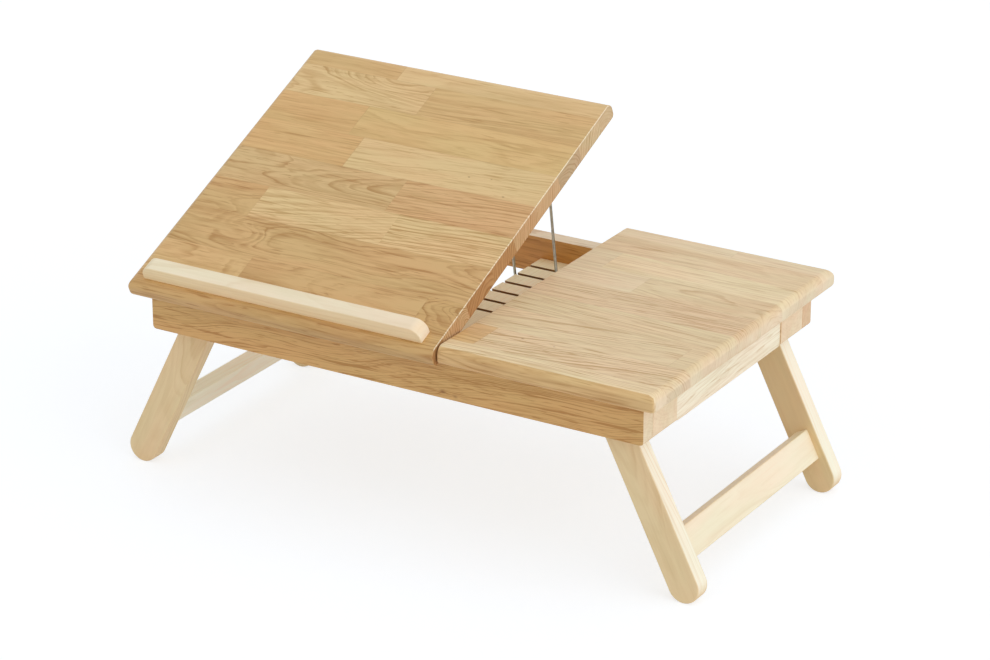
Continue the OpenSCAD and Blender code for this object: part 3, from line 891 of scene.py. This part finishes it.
@dataclass(frozen=True)
class MetalFinish:
    """Bare or plated metal with faint drawing marks and mottling.

    colour and dull are display colours that the mottling mixes. mottle and scuff are
    cycles per metre, and marks is how far the scuffs change the roughness.
    """

    name: str
    colour: Triple
    dull: Triple
    roughness: float
    mottle: float = 260.0
    scuff: float = 1400.0
    marks: float = 0.2
    bump: float = 0.15
    bump_height: float = 0.2

    def make(self) -> bpy.types.Material:
        """Build the material.

        Returns:
            The finished material.
        """
        sheet = Sheet(self.name)
        place = sheet.node("TexCoord").outputs["Object"]
        mottle = sheet.noise(place, self.mottle, self.mottle, 3.0)
        scuff = sheet.noise(place, self.scuff, self.scuff)
        sheet.shader["Metallic"].default_value = 1.0
        sheet.emboss(scuff, self.bump, self.bump_height)
        colour = sheet.mix(sheet.ramp(mottle, -0.2, 0.2), linear(self.colour), linear(self.dull))
        return sheet.finish(colour, sheet.add(sheet.mul(scuff, self.marks), self.roughness))


@dataclass(frozen=True)
class PlainTimber:
    """Plain turned timber for dowels, with fine fibres on the object's own coordinates."""

    name: str
    tone: Tone
    pitch: float = 600.0
    shade: float = 0.7
    roughness: float = 0.6

    def make(self) -> bpy.types.Material:
        """Build the material.

        Returns:
            The finished material.
        """
        sheet = Sheet(self.name)
        fibre = sheet.noise(sheet.node("TexCoord").outputs["Object"], self.pitch, self.pitch, 3.0)
        ground = linear(self.tone.value)
        darker = tuple(v * self.shade for v in ground[:3]) + (1.0,)
        return sheet.finish(sheet.mix(sheet.ramp(fibre, -0.3, 0.3), ground, darker),
                            self.roughness)


class Finishes:
    """All the finishes of the table, each made once."""

    def __init__(self) -> None:
        """Make every material."""
        self.panel = TimberFinish("oiled_oak_panel", knots=(
            Knot((-96, 0, 9), 7.0, 8.0, 0.0), Knot((25.1, -1.7, 9.5), 0.8, 0.4, 0.95, 2.0),
            Knot((74.5, -19.1, 9.5), 0.9, 0.5, 0.95, 2.0),
            Knot((49.9, 1.2, 9.5), 0.7, 0.3, 0.8, 2.0),
            Knot((-71.5, 11.9, 9.5), 1.0, 0.8, 0.9, 3.0),
            Knot((-35.5, 10.3, 9.5), 0.8, 0.6, 0.8, 3.0))).make()
        self.rail = TimberFinish(
            "oiled_oak_rail", lines=1.7, fibre=1.15, streak=0.6, pores=1.0, cracks=0.7,
            end_rings=0.75, glue=0.0, knots=(
                Knot((62, -9, -13), 2.2, 3.0, 0.8), Knot((76, -9, -15), 1.8, 2.5, 0.7))).make()
        self.maple = TimberFinish(
            "clear_maple", late=(0.90, 0.82, 0.70), end=(0.96, 0.93, 0.90), rings=0.8, lines=0.7,
            fibre=0.40, streak=0.40, cloud=0.45, pores=0.05, cracks=0.12, end_rings=0.5,
            glue=0.0, roughness=0.50, bump=0.12).make()
        self.dowel = PlainTimber("dowel_wood", Tone.SAND).make()
        self.wire = MetalFinish("drawn_wire", (186, 182, 168), (156, 153, 140), 0.44).make()
        self.zinc = MetalFinish("zinc_plate", (196, 194, 186), (160, 158, 150), 0.32).make()
        self.steel = MetalFinish("bright_steel", (186, 184, 178), (150, 148, 142), 0.28).make()


@dataclass
class Settings:
    """The places that the sub-assemblies share, in millimetres and degrees."""

    hinge_y: float = -178.236
    hinge_z: float = 201.2
    tilt: float = 23.7
    pivot_x: float = 233.852
    pivot_z: float = 184.0
    splay: float = 26.6

    def raised(self) -> Matrix:
        """Return the turn that takes the flat desk to the angle at which it stands."""
        hinge = Matrix.Translation(mm(0, self.hinge_y, self.hinge_z))
        return hinge @ Matrix.Rotation(math.radians(self.tilt), 4, "X") @ hinge.inverted()

    def opened(self, side: int) -> Matrix:
        """Return the place of a leg pair drawn upright, with side 1 right and -1 left."""
        pivot = Matrix.Translation(mm(side * self.pivot_x, 0, self.pivot_z))
        return pivot @ Matrix.Rotation(math.radians(-side * self.splay), 4, "Y")


@dataclass(kw_only=True)
class SubAssembly:
    """What every sub-assembly has: the table's finishes, and the turn to its place."""

    finishes: Finishes
    matrix: Matrix = field(default_factory=Matrix)


@dataclass(kw_only=True)
class GluedTop(SubAssembly):
    """A board glued up from rows of staves, with rounded outer edges.

    The painted light end and the painted highlight are the shares of cream on the outer end,
    painted light where it faces the lamps, and on the edge of the split, a painted highlight. The
    front shade tone is the colour of the front edge where it faces forward more than nose_slope,
    painted shade on its forward faces, and split_tones those of the split's end grain, a tone for
    each row.
    quiet_end is how much weaker the rings are on the outer end. sinks are the recesses for
    screw heads in the underside: x, y, radius and depth in mm.
    """

    name: str
    node: str
    body: str
    left: float
    right: float
    outer_side: int
    rows: tuple[Row, ...]
    front: float = -187.436
    rear: float = 192.564
    under: float = 204.0
    top: float = 223.0
    upper_radius: float = 9.0
    lower_radius: float = 5.0
    split_radius: float = 1.2
    corner_radius: float = 3.0
    quiet_end: float = 0.8
    pale_end: float = 0.0
    painted_highlight: float = 0.3
    front_shade_tone: Tone = Tone.NOSE
    split_tones: tuple[Tone, ...] = ()
    sinks: tuple[tuple[float, float, float, float], ...] = ()
    nose_slope: float = 0.5
    flat: float = 0.95
    slanted: float = 0.3
    cuts: list[tuple[float, float, float, float, Stave]] = field(default_factory=list)

    @property
    def ends(self) -> Pair:
        """Return the places of the outer end and of the split."""
        return (self.left, self.right) if self.outer_side < 0 else (self.right, self.left)

    def level_edges(self, height: float) -> Test:
        """Return a test for the level edges at a height in mm, but for the one at the split."""
        outer, inner = (end * MM for end in self.ends)
        return lambda middle, way: (
            abs(middle.z - height * MM) < NEAR and abs(way.z) < RUNS
            and (abs(middle.x - outer) < NEAR or abs(way.x) > RUNS)
            and not (abs(middle.x - inner) < NEAR and abs(way.y) > RUNS))

    def shape(self) -> Bench:
        """Draw the board flat, round its edges and part it along the glue lines.

        Returns:
            The bench with the board.
        """
        bench = Bench.block(self.name, mm(self.left, self.front, self.under),
                            mm(self.right, self.rear, self.top))
        inner = self.ends[1] * MM
        bench.round_edges(self.level_edges(self.top), self.upper_radius, 12)
        bench.round_edges(self.level_edges(self.under), self.lower_radius, 8)
        bench.round_edges(lambda middle, way: abs(middle.x - inner) < NEAR, self.split_radius, 4)
        # The upright corners away from the split, with the slanting edges that mitre them
        bench.round_edges(
            lambda middle, way: abs(middle.x - inner) > self.upper_radius * 2 * MM and (
                abs(way.z) > 0.9 or min(abs(way.x), abs(way.y)) > 0.1), self.corner_radius, 4)
        bench.cut_away([
            Bench.rod("sink_tool", mm(x, y, self.under - 1), mm(x, y, self.under + deep), radius)
            for x, y, radius, deep in self.sinks])
        self.part_staves(bench)
        return bench

    def part_staves(self, bench: Bench) -> None:
        """Part the mesh along the glue lines, so that each face belongs to one stave.

        Args:
            bench: The bench with the board.
        """
        high = self.rear
        for row in self.rows:
            low = high - row.width
            if low > self.front:
                bench.part(mm(0, low, 0), (0, 1, 0))
            start = self.left
            for end, stave in zip(row.ends + (self.right - self.left,), row.staves):
                stop = self.left + end
                self.cuts.append((start, stop, low, high, stave))
                if stop < self.right:
                    bench.part(mm(stop, 0, 0), (1, 0, 0), low, high)
                start = stop
            high = low

    def cut_at(self, middle: Vector, normal: Vector) -> Cut:
        """Return the stave that a face belongs to.

        Args:
            middle: The face's middle in metres.
            normal: The face's normal.

        Returns:
            The stave with its middle and half sizes.
        """
        x, y = middle.x / MM, middle.y / MM
        x0, x1, y0, y1, stave = min(
            self.cuts, key=lambda c: max(c[0] - x, x - c[1], 0) + max(c[2] - y, y - c[3], 0))
        outward = normal.x ** 2 if normal.x * self.outer_side > 0 else 0.0
        at_split = abs(x - self.ends[1]) < self.split_radius
        # Painted highlight on the arris of the split, and painted light on the outer end where it
        # faces the lamps
        arris = (at_split and self.slanted < abs(normal.x) < self.flat
                 and normal.z > self.slanted and abs(normal.y) < self.slanted)
        pale = self.painted_highlight if arris else outward ** 2 * self.pale_end
        stave = replace(stave, depth=stave.depth * (1 - self.quiet_end * outward))
        # Painted shade: faces that look forward take the darker front tone
        if normal.y < -self.nose_slope:
            stave = replace(stave, tone=self.front_shade_tone)
        elif self.split_tones and at_split and abs(normal.x) > self.flat:
            edges = sorted({cut[2] for cut in self.cuts}, reverse=True)
            stave = replace(stave, tone=self.split_tones[edges.index(y0)])
        centre = mm((x0 + x1) / 2, (y0 + y1) / 2, (self.under + self.top) / 2)
        return Cut(stave, centre, ((x1 - x0) / 2 * MM, (y1 - y0) / 2 * MM), pale)

    def build(self) -> bpy.types.Object:
        """Make the board, dress it and put it in its place.

        Returns:
            The finished piece.
        """
        bench = self.shape()
        bench.smooth()
        write_grain(bench.obj, Along.X, self.cut_at)
        return bench.hand_over(self.finishes.panel, self.matrix, self.body, self.node,
                               "oak_board")


@dataclass(frozen=True)
class Board:
    """A plain sawn board: its node, corners in mm, grain, cut and easing.

    The painted light shares say how much paler its faces are made that look along X, along Y and
    up, painted light on faces turned to the lamps. Where the painted light side is 1 or -1, this
    goes for the faces on that side of X only. The painted shade test tells which faces are
    darkened as painted shade in slots, from their middle and normal.
    """

    name: str
    node: str
    low: Triple
    high: Triple
    along: Along
    stave: Stave
    body: str = "frame"
    slot: str = "oak_rail"
    ease: float = 0.6
    pale: Triple = (0.0, 0.0, 0.0)
    pale_side: int = 0
    painted_shade: Test | None = None

    def start(self) -> Bench:
        """Draw the board as a block on the bench."""
        return Bench.block(self.name, mm(*self.low), mm(*self.high))

    def cut_at(self, place: Vector, normal: Vector) -> Cut:
        """Return the cut of a face.

        Args:
            place: The face's middle in metres.
            normal: The face's normal.

        Returns:
            The board's cut, with painted light on lit faces and painted shade on slot faces.
        """
        middle = (mm(*self.low) + mm(*self.high)) / 2
        # Painted shade: the slot walls and lips take a dark tone
        if self.painted_shade is not None and self.painted_shade(place, normal):
            return Cut(replace(self.stave, tone=Tone.BURNT), middle)
        # Painted light: faces turned to the lamps are made paler
        share = painted_light_facing(normal, self.pale) if normal.x * self.pale_side >= 0 else 0.0
        return Cut(self.stave, middle, pale=share)

    def finish(self, bench: Bench, material: bpy.types.Material,
               matrix: Matrix) -> bpy.types.Object:
        """Ease, smooth, dress and place the board.

        Args:
            bench: The bench with the shaped board.
            material: The board's finish.
            matrix: Turn from where the board was drawn to its place.

        Returns:
            The finished piece.
        """
        if self.ease:
            bench.ease(self.ease)
        bench.smooth()
        write_grain(bench.obj, self.along, self.cut_at)
        return bench.hand_over(material, matrix, self.body, self.node, self.slot)


@dataclass(kw_only=True)
class ApronFrame(SubAssembly):
    """The frame under the tops: long rails, end rails, corner blocks and the notched rack."""

    end: float = 283.0
    end_rail_outer: float = 282.0
    block_inner: float = 263.0
    low: float = 164.0
    high: float = 204.0
    front: float = -175.436
    bay_front: float = -156.436
    bay_rear: float = 157.564
    rear: float = 176.564
    end_rail_front: float = -108.436
    end_rail_rear: float = 109.564
    corner_radius: float = 4.0
    seat_xs: Pair = (-221.0, -18.6)
    seat_half: float = 25.3
    seat_rear: float = -160.136
    seat_floor: float = 201.4
    rack_half: float = 23.0
    rack_top: float = 181.0
    slot_first: float = 132.564
    slot_pitch: float = 26.0
    slot_count: int = 6
    slot_kerf: float = 3.8
    slot_depth: float = 6.0
    slot_lean: float = 26.0

    def plain(self, node: str, xs: Pair, ys: Pair, along: Along, stave: Stave, pale: Triple,
              axis: int = 1, beyond: float = 0.0, tools: Sequence[Bench] = ()) -> bpy.types.Object:
        """Make a board as high as the frame, with rounded lower edges.

        Args:
            node: The node that it replaces.
            xs: Its two ends along X in mm.
            ys: Its front and rear faces in mm.
            along: Axis that the grain runs along.
            stave: How it was cut.
            pale: How much paler its faces are made, painted light on faces turned to the lamps.
            axis: Axis that the rounded edges run along.
            beyond: Least distance of these edges from the table's middle in mm.
            tools: Pieces to cut out of it.

        Returns:
            The finished board.
        """
        x0, x1 = sorted(xs)
        board = Board(f"{node}_oak", node, (x0, ys[0], self.low), (x1, ys[1], self.high), along,
                      stave, pale=pale)
        bench = board.start()
        bench.round_edges(
            lambda middle, way: abs(way[axis]) > RUNS and middle.z < (self.low + 1) * MM
            and abs(middle.x) > beyond * MM, self.corner_radius, CURVE)
        bench.cut_away(tools)
        return board.finish(bench, self.finishes.rail, self.matrix)

    def rack(self) -> bpy.types.Object:
        """Make the rack with its leaning slots.

        Returns:
            The rack.
        """
        # The near-white tone is painted light on the rack in the shade of the desk
        board = Board("notched_rack_maple", "notched_rack",
                      (-self.rack_half, self.bay_front, self.low),
                      (self.rack_half, self.bay_rear, self.rack_top), Along.Y,
                      Stave(Tone.MAPLE_GREY, (60, -20), (0, 0), 3.0, 0.55, 0.7, 23),
                      slot="pale_hardwood", ease=0.4, painted_shade=self.in_slot)
        tools = []
        for i in range(self.slot_count):
            middle = mm(0, self.slot_first - i * self.slot_pitch, self.rack_top)
            reach = mm(2 * self.rack_half, self.slot_kerf / 2, self.slot_depth)
            tools.append(Bench.block("slot_tool", -reach, reach))
            tools[-1].place(Matrix.Translation(middle)
                            @ Matrix.Rotation(math.radians(self.slot_lean), 4, "X"))
        bench = board.start()
        bench.cut_away(tools)
        return board.finish(bench, self.finishes.maple, self.matrix)

    def in_slot(self, middle: Vector, normal: Vector) -> bool:
        """Tell whether a face of the rack is a wall or a lip of a slot, darkened as painted shade.

        Args:
            middle: The face's middle in metres.
            normal: The face's normal.

        Returns:
            Whether it is one.
        """
        x, y, z = (v / MM for v in middle)
        last = self.slot_first - self.slot_count * self.slot_pitch
        in_row = last < y < self.slot_first + self.slot_pitch / 2
        near_top = self.rack_top - self.slot_depth - 1 < z
        return in_row and near_top and abs(x) < self.rack_half - 0.5 and abs(normal.z) < 0.99

    def build(self) -> list[bpy.types.Object]:
        """Make the whole frame.

        Returns:
            The frame's pieces.
        """
        sides, whole = ((-1, "left"), (1, "right")), (-self.end, self.end)
        seats = [Bench.block("seat_tool", mm(x - self.seat_half, self.front - 1, self.seat_floor),
                             mm(x + self.seat_half, self.seat_rear, self.high + 1))
                 for x in self.seat_xs]
        # The share triples are painted light: how much paler the faces are that look along X,
        # along Y and up
        pieces = [
            self.plain("front_rail", whole, (self.front, self.bay_front), Along.X,
                       Stave(Tone.RAIL, (0, 70), (0, 0.10), 2.1, 0.95, 1.6, 3.1, 1),
                       (0.78, 0.0, 0.5), tools=seats),
            # Its tone is partly its own and partly painted warm bounce light from the shaded bay
            self.plain("rear_rail", whole, (self.bay_rear, self.rear), Along.X,
                       Stave(Tone.RAIL_LIGHT, (30, -50), (0.02, -0.12), 4.2, 0.75, 1.0, 7.7),
                       (0.5, 0.0, 0.65))]
        # The end rails' pale tone is partly their own and partly painted light on their outward
        # faces
        pieces += [
            self.plain(f"{name}_end_rail", (side * self.block_inner, side * self.end_rail_outer),
                       (self.end_rail_front, self.end_rail_rear), Along.Y,
                       Stave(Tone.PALE, (10 * side, -40), (0, 0.03), 2.8, 0.32, 1.8, 11 + side),
                       (0.85, 0.2, 0.3), axis=0)
            for side, name in sides]
        # The blocks' pale tone is partly their own and partly painted light on their outward faces
        pieces += [
            self.plain(f"{place}_{name}_block", (side * self.block_inner, side * self.end), ys,
                       Along.X, Stave(Tone.BLUSH, (15, 45), (0, 0), 3.8, 0.6, 0.8,
                                      17.0 + side + ys[0] * 0.01),
                       (0.6, 0.0, 0.0), beyond=self.block_inner + 1)
            for side, name in sides
            for place, ys in (("front", (self.bay_front, self.end_rail_front)),
                              ("rear", (self.end_rail_rear, self.bay_rear)))]
        return pieces + [self.rack()]


@dataclass(kw_only=True)
class BookStop(SubAssembly):
    """The bar that keeps a book from sliding off the desk."""

    left: float = -284.5
    right: float = 44.9
    front: float = -176.936
    thick: float = 17.0
    under: float = 223.0
    height: float = 15.5
    end_radius: float = 12.0
    edge_radius: float = 1.2

    def build(self) -> bpy.types.Object:
        """Make the bar and put it on the raised desk.

        Returns:
            The finished bar.
        """
        top, rear = self.under + self.height, self.front + self.thick
        # Painted light: the bar's faces that look along X and up are made paler
        board = Board("book_stop_maple", "book_stop", (self.left, self.front, self.under),
                      (self.right, rear, top), Along.X,
                      Stave(Tone.STOP, (20, -60), (0, 0.02), 3.4, 0.55, 1.2, 29),
                      body="desk", slot="pale_hardwood", ease=0.0, pale=(0.9, 0.0, 0.6))
        bench = board.start()
        bench.round_edges(lambda middle, way: abs(way.y) > RUNS and middle.z > (top - 1) * MM,
                          self.end_radius, 14)
        bench.round_edges(
            lambda middle, way: abs(way.y) < RUNS and middle.z > (self.under + 1) * MM
            and min(abs(middle.y - face * MM) for face in (self.front, rear)) < NEAR,
            self.edge_radius, FINE_CURVE)
        return board.finish(bench, self.finishes.maple, self.matrix)


@dataclass(kw_only=True)
class LegPair(SubAssembly):
    """One pair of folding legs with its stretcher, drawn upright with its pivots at the origin."""

    side: int
    name: str
    reach: float = 187.048
    half_width: float = 16.75
    thick: float = 19.0
    front_y: float = -154.936
    rear_y: float = 137.064
    edge_radius: float = 1.5
    bore_radius: float = 3.05
    stretcher_rise: float = 35.5
    stretcher_width: float = 33.0
    stretcher_thick: float = 14.0
    stretcher_offset: float = 1.5
    stretcher_tone: Tone = Tone.MAPLE

    def board(self, part: str, *cut: object, **more: object) -> Board:
        """Return a board of this pair from its corners, its grain and how it was cut."""
        return Board(f"{self.name}_{part}_maple", f"{self.name}_{part}", *cut,
                     f"{self.name}_legs", "pale_hardwood", 0.0, **more)

    def leg(self, place: str, y0: float, stave: Stave) -> bpy.types.Object:
        """Make one leg: a straight bar that is round at both ends, bored for its screw.

        Args:
            place: front or rear.
            y0: Front face of the leg in mm.
            stave: How the leg was cut.

        Returns:
            The finished leg.
        """
        r, y1 = self.half_width, y0 + self.thick
        # Painted light: the outward faces of the leg are made paler
        board = self.board(f"{place}_leg", (-r, y0, -self.reach - r), (r, y1, r), Along.Z, stave,
                           pale=(1.0, 0.0, 0.0), pale_side=self.side)
        bench = board.start()
        bench.round_edges(lambda middle, way: abs(way.y) > RUNS, r - 0.002, 16)
        bench.merge(0.02)
        bench.round_edges(
            lambda middle, way: min(abs(middle.y - face * MM) for face in (y0, y1)) < NEAR / 10,
            self.edge_radius, FINE_CURVE)
        bench.cut_away([Bench.rod("bore_tool", mm(0, y0 - 1, 0), mm(0, y1 + 1, 0),
                                  self.bore_radius)])
        return board.finish(bench, self.finishes.maple, self.matrix)

    def stretcher(self) -> bpy.types.Object:
        """Make the stretcher between the two legs.

        Returns:
            The finished stretcher.
        """
        x, z = self.side * self.stretcher_offset, self.stretcher_rise - self.reach
        half_x, half_z = self.stretcher_thick / 2, self.stretcher_width / 2
        # Painted light: the stretcher's side and upper faces are made paler
        board = self.board("stretcher", (x - half_x, self.front_y + self.thick, z - half_z),
                           (x + half_x, self.rear_y, z + half_z), Along.Y,
                           Stave(self.stretcher_tone, (-40, 8), (0.03, 0.02), 3.2, 0.5, 1.0,
                                 40 + self.side), pale=(0.7, 0.0, 0.7))
        bench = board.start()
        bench.round_edges(lambda middle, way: abs(way.y) > RUNS, self.edge_radius, FINE_CURVE)
        return board.finish(bench, self.finishes.maple, self.matrix)

    def build(self) -> list[bpy.types.Object]:
        """Make the pair.

        Returns:
            The two legs and the stretcher.
        """
        front = Stave(Tone.MAPLE_WARM, (2, 30), (0.01, -0.10), 4.6, 1.05, 1.2, 50 + self.side)
        # The rear legs' darker tone is painted shade
        rear = Stave(Tone.MAPLE_SHADE, (-12, 40), (0.04, 0.06), 3.6, 0.5, 1.2, 55 + self.side)
        return [self.leg("front", self.front_y, front), self.leg("rear", self.rear_y, rear),
                self.stretcher()]


@dataclass(kw_only=True)
class WireProp(SubAssembly):
    """The bent wire that holds the desk up: a crossbar, two legs and two journals."""

    sides: int = 24
    bend_steps: int = 8
    radius: float = 1.5
    half: float = 25.3
    bend: float = 3.0
    length: float = 139.425
    journal: float = 11.0
    foot_y: float = 108.405
    foot_z: float = 177.225
    lean: float = 9.174
    ease: float = 0.3

    def build(self) -> bpy.types.Object:
        """Bend the wire from a ring of points by extruding and spinning, and mirror it.

        Returns:
            The finished wire.
        """
        bpy.ops.object.select_all(action="DESELECT")
        bpy.ops.mesh.primitive_circle_add(vertices=self.sides, radius=self.radius * MM,
                                          fill_type="NOTHING", rotation=(0, math.pi / 2, 0))
        bench = Bench("prop_wire_bent")
        with bench.editing("VERT", everything=True):
            self.draw_out(self.half - self.bend, 0)
            self.bend_about(mm(self.half - self.bend, 0, self.bend), math.pi / 2)
            self.draw_out(0, self.length - 2 * self.bend)
            self.bend_about(mm(self.half + self.bend, 0, self.length - self.bend), -math.pi / 2)
            self.draw_out(self.journal, 0)
            bpy.ops.mesh.edge_face_add()
        bench.modify("MIRROR", use_axis=(True, False, False), merge_threshold=NEAR)
        bench.merge(0.001)
        with bench.editing("VERT", everything=True):
            bpy.ops.mesh.normals_make_consistent(inside=False)
        bench.ease(self.ease, 60)
        bench.smooth(40)
        place = Matrix.Translation(mm(0, self.foot_y, self.foot_z))
        return bench.hand_over(self.finishes.wire,
                               place @ Matrix.Rotation(math.radians(self.lean), 4, "X"),
                               "prop", "prop_wire", "steel")

    @staticmethod
    def draw_out(right: float, up: float) -> None:
        """Draw the open end of the wire out, by distances in mm."""
        bpy.ops.mesh.extrude_edges_move(TRANSFORM_OT_translate={"value": mm(right, 0, up)})

    def bend_about(self, centre: Vector, angle: float) -> None:
        """Bend the open end of the wire about a point in the plane of X and Z."""
        bpy.ops.mesh.spin(steps=self.bend_steps, angle=angle, center=centre, axis=(0, 1, 0))


@dataclass(kw_only=True)
class Hardware(SubAssembly):
    """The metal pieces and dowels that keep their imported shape."""

    steel: tuple[str, ...] = ("frame_hinge_screws", "hinge_pins", "leg_pivot_screws",
                              "book_stop_screws", "desk_hinge_screws", "prop_clip_screws")
    zinc: tuple[str, ...] = ("frame_hinge_leaves", "desk_hinge_leaves", "prop_clips",
                             "leg_washers")
    wood: tuple[str, ...] = ("frame_dowels", "top_dowels", "rack_dowels",
                             "left_stretcher_dowels", "right_stretcher_dowels")

    def build(self) -> None:
        """Give each of them its finish."""
        for names, material in ((self.steel, self.finishes.steel), (self.zinc, self.finishes.zinc),
                                (self.wood, self.finishes.dowel)):
            for name in names:
                dress(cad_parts[name], material)


@dataclass
class Studio:
    """The white floor and surroundings, the lamps and the camera.

    lamps holds each lamp's name, its direction from the table, how wide it looks from
    there in degrees, and the part of full white that it gives a surface that faces it.
    """

    camera_place: Triple = (1741.657, -2868.579, 1547.139)
    azimuth: float = 31.038
    elevation: float = 22.457
    lens: float = 130.24
    film: float = 36.0
    far_end: float = 50.0
    lamp_distance: float = 3.0
    floor_half: float = 9.0
    surround: float = 0.56
    floor_grey: float = 0.93
    floor_shadow: Triple = (0.41, 0.445, 0.49)
    floor_glow: float = 0.68
    lamps: tuple[tuple[str, Triple, float, float], ...] = (
        ("overhead_softbox", (0.30, 0.05, 0.95), 80.0, 0.13),
        ("right_softbox", (0.92, -0.12, 0.36), 60.0, 0.27),
        ("front_softbox", (-0.30, -0.90, 0.35), 70.0, 0.06))

    def floor(self) -> None:
        """Lay the floor: white where the camera sees it lit, and a plain pale one to all else."""
        bpy.ops.object.select_all(action="DESELECT")
        bpy.ops.mesh.primitive_plane_add(size=2 * self.floor_half)
        floor = bpy.context.object
        floor.name = "studio_floor"
        sheet = Sheet("studio_floor_white")
        seen = sheet.seen()
        sheet.shader["Specular IOR Level"].default_value = 0.0
        sheet.shader["Emission Color"].default_value = WHITE
        sheet.feed(sheet.shader["Emission Strength"], sheet.mul(seen, self.floor_glow))
        colour = sheet.mix(seen, (self.floor_grey,) * 3 + (1.0,), self.floor_shadow + (1.0,))
        dress(floor, sheet.finish(colour, 1.0))

    def world(self) -> None:
        """Light the room evenly, and show white where the camera or a reflection looks past."""
        world = bpy.data.worlds.new("studio_world")
        bpy.context.scene.world = world
        world.use_nodes = True
        nodes = Nodes(world.node_tree)
        background = nodes.tree.nodes["Background"].inputs
        background["Color"].default_value = WHITE
        strength = nodes.node("MapRange", nodes.seen(), 0.0, 1.0, self.surround, 1.0)
        nodes.feed(background["Strength"], strength.outputs[0])

    def lamp(self, name: str, towards: Triple, spread: float, share: float) -> None:
        """Hang one broad soft lamp, far enough away to light everything evenly.

        Args:
            name: Name of the lamp.
            towards: Direction from the table to the lamp.
            spread: How wide the lamp looks from the table, in degrees.
            share: Part of full white that it gives a surface that faces it.
        """
        data = bpy.data.lights.new(name, "SUN")
        data.angle, data.energy = math.radians(spread), share * math.pi
        lamp = bpy.data.objects.new(name, data)
        lamp.location = Vector(towards).normalized() * self.lamp_distance
        lamp.rotation_euler = Vector(towards).to_track_quat("Z", "Y").to_euler()
        bpy.context.scene.collection.objects.link(lamp)

    def camera(self) -> None:
        """Set up the camera at the photograph's angle."""
        data = bpy.data.cameras.new("studio_camera")
        data.sensor_fit, data.sensor_width, data.lens = "HORIZONTAL", self.film, self.lens
        data.clip_end = self.far_end
        camera = bpy.data.objects.new("studio_camera", data)
        camera.location = mm(*self.camera_place)
        camera.rotation_euler = (math.radians(90 - self.elevation), 0, math.radians(self.azimuth))
        bpy.context.scene.collection.objects.link(camera)
        bpy.context.scene.camera = camera

    def build(self) -> None:
        """Set up the whole studio."""
        bpy.context.scene.view_settings.view_transform = "Standard"
        self.camera()
        self.floor()
        self.world()
        for lamp in self.lamps:
            self.lamp(*lamp)


def tops(finishes: Finishes, settings: Settings) -> list[bpy.types.Object]:
    """Make the fixed top and the desk top from the two parts of the panel.

    Args:
        finishes: The table's finishes.
        settings: The places that the sub-assemblies share.

    Returns:
        The two tops.
    """
    fixed = GluedTop(finishes=finishes, name="fixed_top_panel", node="fixed_top", body="frame",
                     left=63.0, right=301.0, outer_side=1, rows=FIXED_ROWS, pale_end=0.85,
                     front_shade_tone=Tone.EDGE)
    desk = GluedTop(finishes=finishes, matrix=settings.raised(), name="desk_top_panel",
                    node="desk_top", body="desk", left=-301.0, right=61.4, outer_side=-1,
                    rows=DESK_ROWS, painted_highlight=0.8,
                    split_tones=(Tone.END_GREY, Tone.END_GREY, Tone.END_DULL, Tone.END_PINK,
                                 Tone.END_PINK, Tone.END_BROWN, Tone.END_BROWN, Tone.END_PINK,
                                 Tone.END_BROWN),
                    sinks=tuple((x, -168.436, 4.02, 2.4) for x in (-246.5, -119.8, 6.9)))
    return [fixed.build(), desk.build()]


def main() -> None:
    """Build the table and its studio."""
    logging.basicConfig(level=logging.INFO, format="%(message)s")
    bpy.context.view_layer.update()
    settings, finishes = Settings(), Finishes()
    Hardware(finishes=finishes).build()
    pieces = ApronFrame(finishes=finishes).build()
    pieces += tops(finishes, settings)
    pieces.append(BookStop(finishes=finishes, matrix=settings.raised()).build())
    pieces.append(WireProp(finishes=finishes).build())
    # The left stretcher's near-white tone is painted light in the shade under the tops
    for side, name, tone in ((1, "right", Tone.MAPLE), (-1, "left", Tone.MAPLE_GREY)):
        pieces += LegPair(finishes=finishes, matrix=settings.opened(side), side=side, name=name,
                          stretcher_tone=tone).build()
    for piece in pieces:
        log.info("%s: %d faces", piece.name, len(piece.data.polygons))
    Studio().build()


if __name__ == "__main__":
    main()
